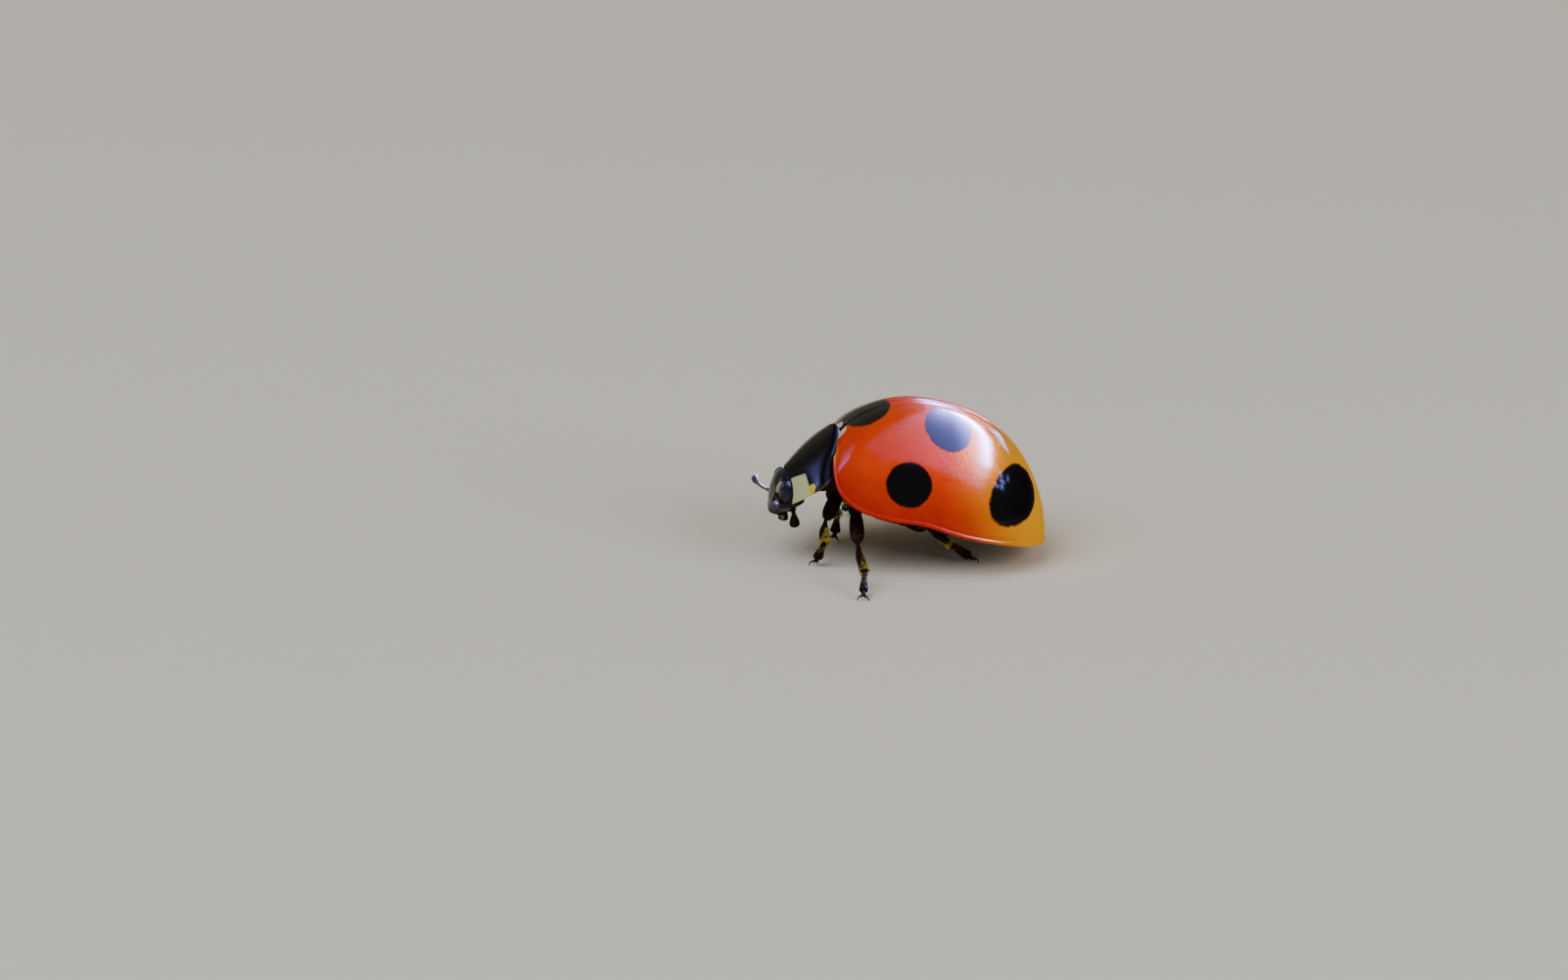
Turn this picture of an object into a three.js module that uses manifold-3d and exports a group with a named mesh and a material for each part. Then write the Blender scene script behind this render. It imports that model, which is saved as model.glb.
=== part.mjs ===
// A seven-spot ladybird at life size, standing on its six feet with its head bent down.
// Millimetres and degrees. The head points along -Y, the insect's left side is +X and up is +Z.
// The body is drawn in its own frame, whose XY plane is the rim of the wing cases and whose origin
// lies under their highest point. That frame is then pitched nose up and lifted onto the legs.

import * as THREE from "three";
import { mergeVertices } from "three/addons/utils/BufferGeometryUtils.js";
import Module from "manifold-3d";

const wasm = await Module();
wasm.setup();

// ---------------------------------------------------------------- driving dimensions

const gap = 0.05; // between neighbouring solids
const pitch = 13; // how far the nose is raised
const lift = 1.3; // the body origin's height above the floor

const shell = {
  halfWidth: 2.8,
  rear: 3.36, // crown to tail
  front: 3.03, // crown to where the dome would meet the rim plane, under the pronotum
  base: 2.76, // crown to the front edge of the wing cases
  height: 2.78,
  thickness: 0.5,
  rimRise: 0.14, // how far the rim climbs towards the shoulders
  rimDroop: 0.14, // and how far it sinks towards the tail
  rimLift: 0.15, // the rise of its shallow wave beside the middle legs
  liftAt: -0.35,
  liftReach: 0.95,
};

const shield = {
  length: 1.8,
  hindHalfWidth: 1.94,
  frontHalfWidth: 1.11,
  cornerRound: 0.27, // taken off each hind corner's half width
  cornerAdvance: 0.92, // the hind corners lie this far forward of the hind edge's middle
  frontAdvance: 0.31, // the front corners reach this far past the front edge's middle
  eyeNotch: 0.04, // and between them the edge is hollowed behind each eye
  drop: 0.53, // fall from the middle to the side margin
  arch: 0.035,
  thickness: 0.5,
  marginThickness: 0.1,
  slope: 53.65,
  at: [0, -2.65, 1.645],
};

const headSize = {
  halfWidth: 0.79,
  halfDepth: 0.57,
  rearDepth: 0.36, // the same behind the middle, where it enters the pronotum
  halfHeight: 0.73,
  chinTaper: 0.36,
  jawFront: 0.84, // the lower half's height at the mouth, as a share
  jawRear: 0.1, // and at the throat
};
const headPlace = { at: [0, -3.35, -0.45], lean: 4 };
const eye = { at: [0.67, -0.24, 0.28], size: [0.23, 0.2, 0.28] };

const antenna = { radius: 0.2, clubRadius: 0.24, clubLength: 0.5 };
const palp = { radius: 0.18, blade: [0.2, 0.17, 0.21] };
const upperLip = { at: [0, -0.35, -0.46], size: [0.34, 0.2, 0.15] };

const wedge = { at: [0, -2.42, 0.98], slope: 36, halfWidth: 0.36, length: 0.46, depth: 0.5 };
const neck = { at: [0, -0.88, -0.76], size: [1.25, 0.74, 0.52] };
const belly = { depth: 0.36, waist: 0.35, front: 2.15 };

// Radii along a leg, then the foot's wide pad and its claws.
const limb = { hip: 0.22, femur: 0.26, knee: 0.22, tibia: 0.22, ankle: 0.24, tarsus: 0.2, claw: 0.17 };
const footPad = { size: [0.28, 0.22, 0.2], along: 0.55 };
const claws = { tip: 0.07, root: 0.13, length: 0.34, apart: 0.15, splay: 32, along: 0.95 };
const barEnd = 0.55; // the share of its radius that a rounded bar keeps at its ends

// Each leg bends at these points, above the floor. The left and right ones are caught in mid stride.
const legs = [
  { name: "front_left", hip: [0.45, -2.11, 1.94], knee: [0.95, -2.56, 1.22], ankle: [1.3, -2.63, 0.71],
    foot: [1.0, -2.81, 0] },
  { name: "middle_left", hip: [0.75, -1.77, 1.4], knee: [2.2, -1.89, 0.97], ankle: [3.4, -1.82, 0.53],
    foot: [4.15, -1.98, 0] },
  { name: "hind_left", hip: [0.55, -0.5, 0.95], knee: [1.68, -0.08, 1.01], ankle: [1.4, 0.62, 0.62],
    foot: [1.05, 1.26, 0] },
  { name: "front_right", hip: [-0.45, -2.11, 1.94], knee: [-1.0, -2.18, 1.22], ankle: [-1.45, -1.95, 0.66],
    foot: [-1.25, -2.05, 0] },
  { name: "middle_right", hip: [-0.75, -1.77, 1.4], knee: [-2.2, -1.75, 0.97], ankle: [-3.2, -1.5, 0.58],
    foot: [-3.7, -1.45, 0] },
  { name: "hind_right", hip: [-0.55, -0.5, 0.95], knee: [-1.7, -0.1, 1.0], ankle: [-1.8, 0.75, 0.58],
    foot: [-1.8, 1.4, 0] },
];

const finish = {
  wingCase: { color: 0xd8330a, roughness: 0.25, metalness: 0 },
  blackShell: { color: 0x0b0b0d, roughness: 0.3, metalness: 0 },
  eyeGlaze: { color: 0x11131c, roughness: 0.15, metalness: 0 },
  underside: { color: 0x171210, roughness: 0.5, metalness: 0 },
  feeler: { color: 0x2a1a10, roughness: 0.5, metalness: 0 },
};

// ---------------------------------------------------------------- solids and meshes

const radians = THREE.MathUtils.degToRad;
const mix = THREE.MathUtils.lerp;

// A closed geometry as a solid, with its faces turned outwards.
function solidOf(geometry) {
  const bare = new THREE.BufferGeometry();
  bare.setAttribute("position", geometry.getAttribute("position").clone());
  if (geometry.index) bare.setIndex(geometry.index.clone());
  const merged = mergeVertices(bare, 1e-4);
  const corners = merged.index.array;
  const kept = [];
  for (let i = 0; i < corners.length; i += 3) {
    const [a, b, c] = corners.slice(i, i + 3);
    if (a !== b && b !== c && c !== a) kept.push(a, b, c);
  }
  const build = (triVerts) =>
    new wasm.Manifold(
      new wasm.Mesh({
        numProp: 3,
        vertProperties: new Float32Array(merged.attributes.position.array),
        triVerts: new Uint32Array(triVerts),
      }),
    );
  const made = build(kept);
  return made.volume() < 0 ? build(kept.reverse()) : made;
}

function geometryOf(solid) {
  const mesh = solid.getMesh();
  const positions = new Float32Array(mesh.numVert * 3);
  for (let i = 0; i < mesh.numVert; i++) {
    const from = i * mesh.numProp;
    positions.set(mesh.vertProperties.subarray(from, from + 3), i * 3);
  }
  const geometry = new THREE.BufferGeometry();
  geometry.setAttribute("position", new THREE.BufferAttribute(positions, 3));
  geometry.setIndex(new THREE.BufferAttribute(new Uint32Array(mesh.triVerts), 1));
  geometry.computeVertexNormals();
  return geometry;
}

function piece(name, geometry, look, parent) {
  const mesh = new THREE.Mesh(geometryOf(solidOf(geometry)), new THREE.MeshStandardMaterial(look));
  mesh.name = name;
  parent.add(mesh);
  return mesh;
}

// Something to cut with: it stands in the scene while it cuts, and never reaches the export.
function cutter(geometry, parent) {
  const tool = new THREE.Mesh(geometry);
  parent.add(tool);
  return tool;
}

// The solid of tool, where it stands, as seen from mesh's own frame.
function solidSeenFrom(mesh, tool) {
  part.updateMatrixWorld(true);
  const change = mesh.matrixWorld.clone().invert().multiply(tool.matrixWorld);
  return solidOf(tool.geometry).transform(change.elements);
}

function carve(mesh, ...tools) {
  let solid = solidOf(mesh.geometry);
  for (const tool of tools) solid = solid.subtract(solidSeenFrom(mesh, tool));
  mesh.geometry = geometryOf(solid);
}

function weld(mesh, ...others) {
  let solid = solidOf(mesh.geometry);
  for (const other of others) solid = solid.add(solidSeenFrom(mesh, other));
  mesh.geometry = geometryOf(solid);
}

// The closed solid between two sheets of points, each a function of (u, v) from 0 to 1.
// A ring closes on itself where u comes round to 1, so it has no walls there.
function plate(outer, inner, across, along, ring = false) {
  const positions = [];
  for (const sheet of [outer, inner])
    for (let j = 0; j <= along; j++)
      for (let i = 0; i <= across; i++) positions.push(...sheet(i / across, j / along));
  const row = across + 1;
  const under = row * (along + 1);
  const faces = [];
  const quad = (a, b, c, d) => faces.push(a, b, c, a, c, d);
  for (let j = 0; j < along; j++)
    for (let i = 0; i < across; i++) {
      const a = j * row + i;
      quad(a, a + 1, a + 1 + row, a + row);
      quad(under + a, under + a + row, under + a + 1 + row, under + a + 1);
    }
  const wall = (a, b) => quad(a, under + a, under + b, b);
  for (let i = 0; i < across; i++) {
    wall(i, i + 1);
    wall(along * row + i + 1, along * row + i);
  }
  for (let j = 0; j < along && !ring; j++) {
    wall((j + 1) * row, j * row);
    wall(j * row + across, (j + 1) * row + across);
  }
  const geometry = new THREE.BufferGeometry();
  geometry.setAttribute("position", new THREE.Float32BufferAttribute(positions, 3));
  geometry.setIndex(faces);
  return geometry;
}

// A ball whose points are moved by shape(x, y, z), given on the unit sphere.
function blob(around, upward, shape) {
  const ball = new THREE.SphereGeometry(1, around, upward);
  const points = ball.getAttribute("position");
  for (let i = 0; i < points.count; i++)
    points.setXYZ(i, ...shape(points.getX(i), points.getY(i), points.getZ(i)));
  return ball;
}

const ellipsoid = (size, grow = 0, around = 12, upward = 8) =>
  blob(around, upward, (x, y, z) => [x * (size[0] + grow), y * (size[1] + grow), z * (size[2] + grow)]);

function block(low, high) {
  const size = high.map((h, k) => h - low[k]);
  const box = new THREE.BoxGeometry(...size);
  box.translate(...high.map((h, k) => (h + low[k]) / 2));
  return box;
}

// A round bar along +Y from 0 to its length, with rounded ends and three radii along it.
function bar(length, [startRadius, middleRadius, endRadius], grow = 0, sides = 8, steps = 6) {
  const profile = [new THREE.Vector2(0, -grow)];
  for (let i = 0; i <= steps; i++) {
    const s = i / steps;
    const ends = mix(startRadius, endRadius, s);
    const swell = (middleRadius - (startRadius + endRadius) / 2) * Math.sin(Math.PI * s);
    const rounding = mix(barEnd, 1, Math.sqrt(1 - Math.abs(2 * s - 1) ** 6));
    profile.push(new THREE.Vector2((ends + swell) * rounding + grow, mix(-grow, length + grow, s)));
  }
  profile.push(new THREE.Vector2(0, length + grow));
  return new THREE.LatheGeometry(profile, sides);
}

// Lays an object's +Y axis from one point towards another.
function layBetween(object, from, to) {
  object.position.copy(from);
  object.quaternion.setFromUnitVectors(new THREE.Vector3(0, 1, 0), to.clone().sub(from).normalize());
}

// ---------------------------------------------------------------- the dome of the wing cases

// Plan distance from the crown to the rim. Angle 0 is the tail and half a turn is the head.
function outlineRadius(angle) {
  const rearward = Math.cos(angle) > 0;
  const power = rearward ? 2.15 : 2.6;
  const along = Math.abs(Math.cos(angle) / (rearward ? shell.rear : shell.front)) ** power;
  const aside = Math.abs(Math.sin(angle) / shell.halfWidth) ** power;
  return (along + aside) ** (-1 / power);
}

// The same, stopped short by the front edge of the wing cases, with rounded shoulders.
function caseRadius(angle) {
  const rim = outlineRadius(angle);
  const toBase = shell.base / Math.max(-Math.cos(angle), 0.05);
  return (rim ** -24 + toBase ** -24) ** (-1 / 24);
}

function rimHeight(y) {
  const towardsShoulder = THREE.MathUtils.clamp((-y - 0.9) / 1.4, 0, 1);
  const towardsTail = THREE.MathUtils.clamp((y - 1) / 2.4, 0, 1);
  const wave = shell.rimLift * Math.exp(-(((y - shell.liftAt) / shell.liftReach) ** 2));
  return shell.rimRise * towardsShoulder ** 1.6 - shell.rimDroop * towardsTail ** 2 + wave;
}

function domeHeight(angle, radius) {
  const share = Math.min(1, radius / outlineRadius(angle));
  const lengthwise = Math.cos(angle) ** 2;
  const rearward = Math.cos(angle) > 0;
  const flatness = mix(2, rearward ? 2.18 : 2.25, lengthwise);
  const fullness = mix(0.5, rearward ? 0.67 : 0.56, lengthwise);
  const rim = rimHeight(radius * Math.cos(angle));
  return rim * share ** 4 + shell.height * (1 - share ** flatness) ** fullness;
}

// A point of the dome, inset from its outer face. Spread 1 is the edge of the wing cases.
function domePoint(angle, spread, inset) {
  const edge = caseRadius(angle);
  const reach = edge * spread;
  const narrowed = reach * (1 - inset / edge);
  const rim = rimHeight(reach * Math.cos(angle));
  const height = domeHeight(angle, reach);
  const lowered = mix(rim, height, 1 - inset / shell.height);
  return [narrowed * Math.sin(angle), narrowed * Math.cos(angle), Math.max(lowered, rim)];
}

const easeToEdge = (v) => Math.sin((v * Math.PI) / 2);

function wingCase(side) {
  const sheet = (inset) => (u, v) => {
    const [x, y, z] = domePoint(Math.PI * u, easeToEdge(v), inset);
    return [side * Math.max(x, gap / 2), y, z];
  };
  return plate(sheet(0), sheet(shell.thickness), 20, 8);
}

// The trunk under the wing cases: their hollow above, and a gently bulging belly below.
function trunk() {
  const inset = shell.thickness + gap;
  const sheet = (side) => (u, v) => {
    const angle = 2 * Math.PI * u;
    const spread = easeToEdge(v);
    const [x, y, z] = domePoint(angle, spread, inset);
    if (side > 0) return [x, y, z - gap];
    return [x, y, rimHeight(y) * v - belly.depth * (1 - spread ** 3) - gap];
  };
  return plate(sheet(1), sheet(-1), 24, 4, true);
}

// ---------------------------------------------------------------- pronotum and scutellum

// In the shield's own frame: -Y runs forward along its slope and +Z is its outward side.
function shieldPoint(across, forward, inset) {
  const t = 2 * across - 1;
  const side = Math.abs(t);
  const width = mix(shield.hindHalfWidth, shield.frontHalfWidth, forward ** 1.88);
  const halfWidth = width - shield.cornerRound * (1 - forward) ** 7;
  const hind = shield.cornerAdvance * side ** 1.46;
  const notch = shield.eyeNotch * Math.sin(Math.PI * side) ** 2;
  const front = shield.length + shield.frontAdvance * side ** 5 - notch;
  const thickness = mix(shield.thickness, shield.marginThickness, side ** 3);
  const rise = shield.arch * Math.sin(Math.PI * forward) - shield.drop * side ** 2.23;
  return [t * halfWidth, -mix(hind, front, forward), rise - inset * thickness];
}

const shieldPlate = () =>
  plate(
    (u, v) => shieldPoint(u, v, 0),
    (u, v) => shieldPoint(u, v, 1),
    16,
    6,
  );

// The shield made larger all round, to cut its neighbours with. It also reaches up and outwards.
function shieldCutter() {
  const sheet = (rise) => (u, v) => {
    const [x, y, z] = shieldPoint(u, v, rise > 0 ? 0 : 1);
    const spread = 1 + gap / shield.hindHalfWidth;
    return [x * spread, y + mix(gap, -gap, v), z + (rise > 0 ? 0.6 : -gap)];
  };
  return plate(sheet(1), sheet(-1), 16, 6);
}

function scutellumPrism(grow) {
  const halfWidth = wedge.halfWidth + grow;
  const outline = new THREE.Shape([
    new THREE.Vector2(-halfWidth, -grow),
    new THREE.Vector2(halfWidth, -grow),
    new THREE.Vector2(0, wedge.length + 1.6 * grow),
  ]);
  return new THREE.ExtrudeGeometry(outline, { depth: wedge.depth + 2 * grow, bevelEnabled: false });
}

const neckBlob = () => ellipsoid(neck.size, 0, 14, 8);

// ---------------------------------------------------------------- head

function headBlob(grow) {
  const swell = (value) => Math.sign(value) * Math.abs(value) ** 0.8;
  return blob(18, 12, (x, y, z) => {
    const taper = 1 - headSize.chinTaper * Math.max(0, -z) ** 1.4;
    const rearward = THREE.MathUtils.clamp((y + 0.8) / 1.35, 0, 1);
    const jaw = z < 0 ? mix(headSize.jawFront, headSize.jawRear, rearward ** 1.3) : 1;
    return [
      swell(x) * (headSize.halfWidth + grow) * taper,
      swell(y) * ((y > 0 ? headSize.rearDepth : headSize.halfDepth) + grow),
      swell(z) * (headSize.halfHeight * jaw + grow),
    ];
  });
}

// A feeler along a bend from its socket to its tip, with a swollen club at the end.
function feeler(name, ...bends) {
  const path = new THREE.QuadraticBezierCurve3(...bends.map((spot) => new THREE.Vector3(...spot)));
  const round = new THREE.Shape();
  round.absarc(0, 0, antenna.radius, 0, 2 * Math.PI);
  const stalk = new THREE.ExtrudeGeometry(round, {
    steps: 6,
    curveSegments: 4,
    extrudePath: path,
    bevelEnabled: false,
  });
  const mesh = piece(name, stalk, finish.feeler, headGroup);
  const clubSize = [antenna.clubRadius, antenna.clubLength / 2, antenna.clubRadius];
  const club = cutter(ellipsoid(clubSize, 0, 8, 6), headGroup);
  layBetween(club, path.v2, path.v2.clone().add(path.getTangent(1)));
  weld(mesh, club);
  return mesh;
}

// A mouth feeler: a short stalk that ends in a flat axe blade.
function mouthFeeler(name, ...ends) {
  const [root, heel] = ends.map((spot) => new THREE.Vector3(...spot));
  const stalk = bar(heel.distanceTo(root), [palp.radius, palp.radius, palp.radius], 0, 6, 4);
  const mesh = piece(name, stalk, finish.blackShell, headGroup);
  layBetween(mesh, root, heel);
  const blade = cutter(ellipsoid(palp.blade, 0, 8, 6), headGroup);
  layBetween(blade, heel.clone().add(new THREE.Vector3(0, 0, -palp.blade[1] / 2)), root);
  weld(mesh, blade);
  return mesh;
}

// ---------------------------------------------------------------- legs

// The foot: a tapering stalk, the wide pad and the claw joint with its pair of claws.
function tarsusGeometry(length) {
  const stalk = bar(length, [limb.tarsus, limb.tarsus, limb.claw], 0, 6, 4);
  const pad = ellipsoid(footPad.size, 0, 8, 5).translate(0, length * footPad.along, 0);
  const pair = [-1, 1].map((side) => {
    const claw = new THREE.CylinderGeometry(claws.tip, claws.root, claws.length, 5);
    claw.rotateZ(-side * radians(claws.splay));
    return claw.translate(side * claws.apart, length * claws.along, 0);
  });
  return geometryOf([pad, ...pair].reduce((sum, g) => sum.add(solidOf(g)), solidOf(stalk)));
}

function addLeg({ name, hip, knee, ankle, foot }) {
  const spots = [hip, knee, ankle, foot].map((spot) => new THREE.Vector3(...spot));
  const [hipSpot, kneeSpot, ankleSpot, footSpot] = spots;
  footSpot.z += 0.02; // so that the floor trims the foot to a flat

  const bone = (from, to, radii, grow) => bar(from.distanceTo(to), radii, grow);
  const thighRadii = [limb.hip, limb.femur, limb.knee];
  const shinRadii = [limb.knee, limb.tibia, limb.ankle];
  const footShape = tarsusGeometry(ankleSpot.distanceTo(footSpot));

  const thigh = piece(`${name}_femur`, bone(hipSpot, kneeSpot, thighRadii), finish.blackShell, model);
  const shin = piece(`${name}_tibia`, bone(kneeSpot, ankleSpot, shinRadii), finish.blackShell, model);
  const tarsus = piece(`${name}_tarsus`, footShape, finish.blackShell, model);
  const thighSpace = cutter(bone(hipSpot, kneeSpot, thighRadii, gap), model);
  const shinSpace = cutter(bone(kneeSpot, ankleSpot, shinRadii, gap), model);
  for (const o of [thigh, thighSpace]) layBetween(o, hipSpot, kneeSpot);
  for (const o of [shin, shinSpace]) layBetween(o, kneeSpot, ankleSpot);
  layBetween(tarsus, ankleSpot, footSpot);

  carve(shin, thighSpace);
  carve(tarsus, shinSpace, belowFloor);
  for (const trunkPiece of trunkPieces) carve(trunkPiece, thighSpace); // the groove the thigh lies in
}

// ---------------------------------------------------------------- assembly

const part = new THREE.Group();
const model = new THREE.Group();
const body = new THREE.Group();
const shieldGroup = new THREE.Group();
const headGroup = new THREE.Group();
part.add(model);
model.add(body);
body.add(shieldGroup, headGroup);
body.position.z = lift;
body.rotation.x = -radians(pitch);
shieldGroup.position.set(...shield.at);
shieldGroup.rotation.x = radians(shield.slope);
headGroup.position.set(...headPlace.at);
headGroup.rotation.x = radians(headPlace.lean);

// The front cover and the wing cases behind it, with the small triangle let in between them.
piece("pronotum", shieldPlate(), finish.blackShell, shieldGroup);
const shieldSpace = cutter(shieldCutter(), shieldGroup);
const scutellum = piece("scutellum", scutellumPrism(0), finish.blackShell, body);
const scutellumSpace = cutter(scutellumPrism(gap), body);
for (const prism of [scutellum, scutellumSpace]) {
  prism.position.set(...wedge.at);
  prism.rotation.x = radians(wedge.slope);
}
carve(scutellum, shieldSpace);
for (const side of [1, -1]) {
  const name = side > 0 ? "elytron_left" : "elytron_right";
  carve(piece(name, wingCase(side), finish.wingCase, body), shieldSpace, scutellumSpace);
}

const head = piece("head", headBlob(0), finish.blackShell, headGroup);
const headSpace = cutter(headBlob(gap), headGroup);
carve(head, shieldSpace);

const eyeSpaces = [1, -1].map((side) => {
  const ball = piece(side > 0 ? "eye_left" : "eye_right", ellipsoid(eye.size), finish.eyeGlaze, headGroup);
  const space = cutter(ellipsoid(eye.size, gap), headGroup);
  for (const o of [ball, space]) o.position.set(side * eye.at[0], eye.at[1], eye.at[2]);
  carve(head, space);
  carve(ball, shieldSpace);
  return space;
});

// Both feelers are held forward and out, each at its own angle.
const feelers = [
  feeler("antenna_left", [0.55, -0.38, -0.06], [1.0, -0.64, -0.07], [1.45, -0.58, 0.07]),
  feeler("antenna_right", [-0.55, -0.38, -0.06], [-0.82, -0.7, -0.16], [-1.15, -0.8, 0.02]),
];
const mouthParts = [
  mouthFeeler("palp_left", [0.46, 0.02, -0.1], [0.62, 0.1, -0.38]),
  mouthFeeler("palp_right", [-0.35, -0.05, -0.25], [-0.42, -0.02, -0.54]),
];
const labrum = piece("labrum", ellipsoid(upperLip.size, 0, 10, 6), finish.blackShell, headGroup);
labrum.position.set(...upperLip.at);
for (const o of [...feelers, ...mouthParts, labrum]) carve(o, headSpace);
for (const o of feelers) carve(o, ...eyeSpaces);

// The trunk is parted at the neck and at the waist.
const prothorax = piece("prothorax", neckBlob(), finish.underside, shieldGroup);
const thorax = piece("thorax", trunk(), finish.underside, body);
const abdomen = piece("abdomen", trunk(), finish.underside, body);
const trunkPieces = [prothorax, thorax, abdomen];
prothorax.position.set(...neck.at);
const slab = (fromY, toY) => cutter(block([-9, fromY, -9], [9, toY, 9]), body);
carve(prothorax, shieldSpace, headSpace, ...eyeSpaces, slab(-belly.front - gap, 9));
carve(thorax, shieldSpace, slab(-9, -belly.front), slab(-belly.waist, 9));
carve(abdomen, slab(-9, gap - belly.waist));

const belowFloor = cutter(block([-9, -9, -2], [9, 9, 0]), model);
for (const leg of legs) addLeg(leg);

// Only the named pieces are the ladybird. It is centred over the origin.
const tools = [];
part.traverse((o) => {
  if (o.isMesh && !o.name) tools.push(o);
});
for (const tool of tools) tool.removeFromParent();
const middle = new THREE.Box3().setFromObject(part, true).getCenter(new THREE.Vector3());
model.position.set(-middle.x, -middle.y, 0);

export default part;
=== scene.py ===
import math

import bpy
import numpy as np
from mathutils import Matrix, Vector


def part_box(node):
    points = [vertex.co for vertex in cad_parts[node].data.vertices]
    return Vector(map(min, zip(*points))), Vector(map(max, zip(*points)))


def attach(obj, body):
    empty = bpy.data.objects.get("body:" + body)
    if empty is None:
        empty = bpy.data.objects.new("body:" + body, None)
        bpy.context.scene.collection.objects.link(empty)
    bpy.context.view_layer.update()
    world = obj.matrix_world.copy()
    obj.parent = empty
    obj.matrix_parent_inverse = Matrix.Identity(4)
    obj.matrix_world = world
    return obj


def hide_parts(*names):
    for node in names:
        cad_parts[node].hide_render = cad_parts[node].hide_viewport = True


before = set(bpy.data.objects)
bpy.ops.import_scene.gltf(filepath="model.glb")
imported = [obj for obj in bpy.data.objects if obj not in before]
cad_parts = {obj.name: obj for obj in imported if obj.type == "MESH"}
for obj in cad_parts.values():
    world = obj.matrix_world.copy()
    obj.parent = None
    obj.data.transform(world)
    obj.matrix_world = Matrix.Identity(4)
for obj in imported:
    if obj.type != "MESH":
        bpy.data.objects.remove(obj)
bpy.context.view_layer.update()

# Lengths are in millimetres until a mesh is made. The head points along -Y and the insect's left
# side is +X. The body is drawn in its own frame, on the plane of the wing cases' rim, and then
# pitched nose up and lifted onto the legs.
metres = 0.001
random = np.random.default_rng(7)
sideSigns = {"left": 1, "right": -1}
pose = {"pitch": 13.0, "lift": 1.3}
rimShape = {
    "rise": 0.14, "riseFrom": 0.9, "riseReach": 1.4, "risePower": 1.6,
    "droop": 0.14, "droopFrom": 1, "droopReach": 2.4, "lift": 0.15, "liftAt": -0.35, "liftReach": 0.95,
}
dome = {
    "halfWidth": 2.8, "rear": 3.36, "front": 3.03, "base": 2.76, "height": 2.78, "baseCorner": 24,
    # the powers of the curves, behind the widest place and in front of it
    "outline": (2.15, 2.6), "flatness": (2.18, 2.25), "fullness": (0.67, 0.56),
    "cadRings": 8,
}


def smoothStep(value, low, high):
    t = np.clip((value - low) / (high - low), 0, 1)
    return t * t * (3 - 2 * t)


def bump(distance, radius):
    return np.exp(-(distance / radius) ** 2)


def unit(v):
    return v / np.linalg.norm(v)


# Turns points about the X axis. A negative angle lifts the nose.
def turned(points, degrees):
    c, s = math.cos(math.radians(degrees)), math.sin(math.radians(degrees))
    x, y, z = np.moveaxis(np.asarray(points, float), -1, 0)
    return np.stack([x, y * c - z * s, y * s + z * c], -1)


def outlineRadius(angle):
    rearward = np.cos(angle) > 0
    power = np.where(rearward, *dome["outline"])
    reach = np.where(rearward, dome["rear"], dome["front"])
    along = np.abs(np.cos(angle) / reach) ** power
    aside = np.abs(np.sin(angle) / dome["halfWidth"]) ** power
    return (along + aside) ** (-1 / power)


def caseRadius(angle):
    corner = dome["baseCorner"]
    toBase = dome["base"] / np.maximum(-np.cos(angle), 0.05)
    return (outlineRadius(angle) ** -corner + toBase ** -corner) ** (-1 / corner)


def rimHeight(y):
    r = rimShape
    towardsShoulder = np.clip((-y - r["riseFrom"]) / r["riseReach"], 0, 1)
    towardsTail = np.clip((y - r["droopFrom"]) / r["droopReach"], 0, 1)
    wave = r["lift"] * bump(y - r["liftAt"], r["liftReach"])
    return r["rise"] * towardsShoulder ** r["risePower"] - r["droop"] * towardsTail ** 2 + wave


def domeHeight(angle, radius):
    share = np.minimum(1, radius / outlineRadius(angle))
    lengthwise = np.cos(angle) ** 2
    rearward = np.cos(angle) > 0
    flatness = 2 + (np.where(rearward, *dome["flatness"]) - 2) * lengthwise
    fullness = 0.5 + (np.where(rearward, *dome["fullness"]) - 0.5) * lengthwise
    rim = rimHeight(radius * np.cos(angle))
    return rim * share ** 4 + dome["height"] * np.maximum(0, 1 - share ** flatness) ** fullness


def domePoint(angle, spread, inset=0.0):
    edge = caseRadius(angle)
    reach = edge * spread
    narrowed = reach * (1 - inset / edge)
    rim = rimHeight(reach * np.cos(angle))
    lowered = rim + (domeHeight(angle, reach) - rim) * (1 - inset / dome["height"])
    return np.stack([narrowed * np.sin(angle), narrowed * np.cos(angle), np.maximum(lowered, rim)], -1)


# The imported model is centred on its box, so the body's place is read from the wing cases.
def bodyShift():
    rings = np.sin(np.linspace(0, 1, dome["cadRings"] + 1) * math.pi / 2)
    tail = turned(domePoint(np.zeros_like(rings), rings), -pose["pitch"])
    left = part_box("elytron_left")
    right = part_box("elytron_right")
    middle = (left[0][0] + right[1][0]) / 2 / metres
    return np.array([middle, left[1][1] / metres - tail[:, 1].max(), pose["lift"]])


shift = bodyShift()
print("body placed at", np.round(shift, 3))


def placeBody(points):
    return turned(points, -pose["pitch"]) + shift


# A place above the floor, counted from the body's middle as the legs are.
def placeGround(points):
    return np.asarray(points, float) + np.array([shift[0], shift[1], 0])


def linkObject(name, data):
    made = bpy.data.objects.new(name, data)
    bpy.context.scene.collection.objects.link(made)
    return made


def newMesh(name, points, faces, material):
    mesh = bpy.data.meshes.new(name)
    mesh.from_pydata((np.asarray(points, float) * metres).tolist(), [], faces)
    mesh.materials.append(material)
    return linkObject(name, mesh)


def newPiece(name, points, faces, material, node=None, slot=None):
    piece = newMesh(name, points, faces, material)
    piece.data.validate()
    piece.data.shade_smooth()
    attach(piece, "root")
    if node:
        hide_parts(*([node] if isinstance(node, str) else node))
    return piece


# A number at each point, which a shader reads by its name.
def giveValues(piece, name, values):
    piece.data.attributes.new(name, "FLOAT", "POINT").data.foreach_set("value", values)


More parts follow.
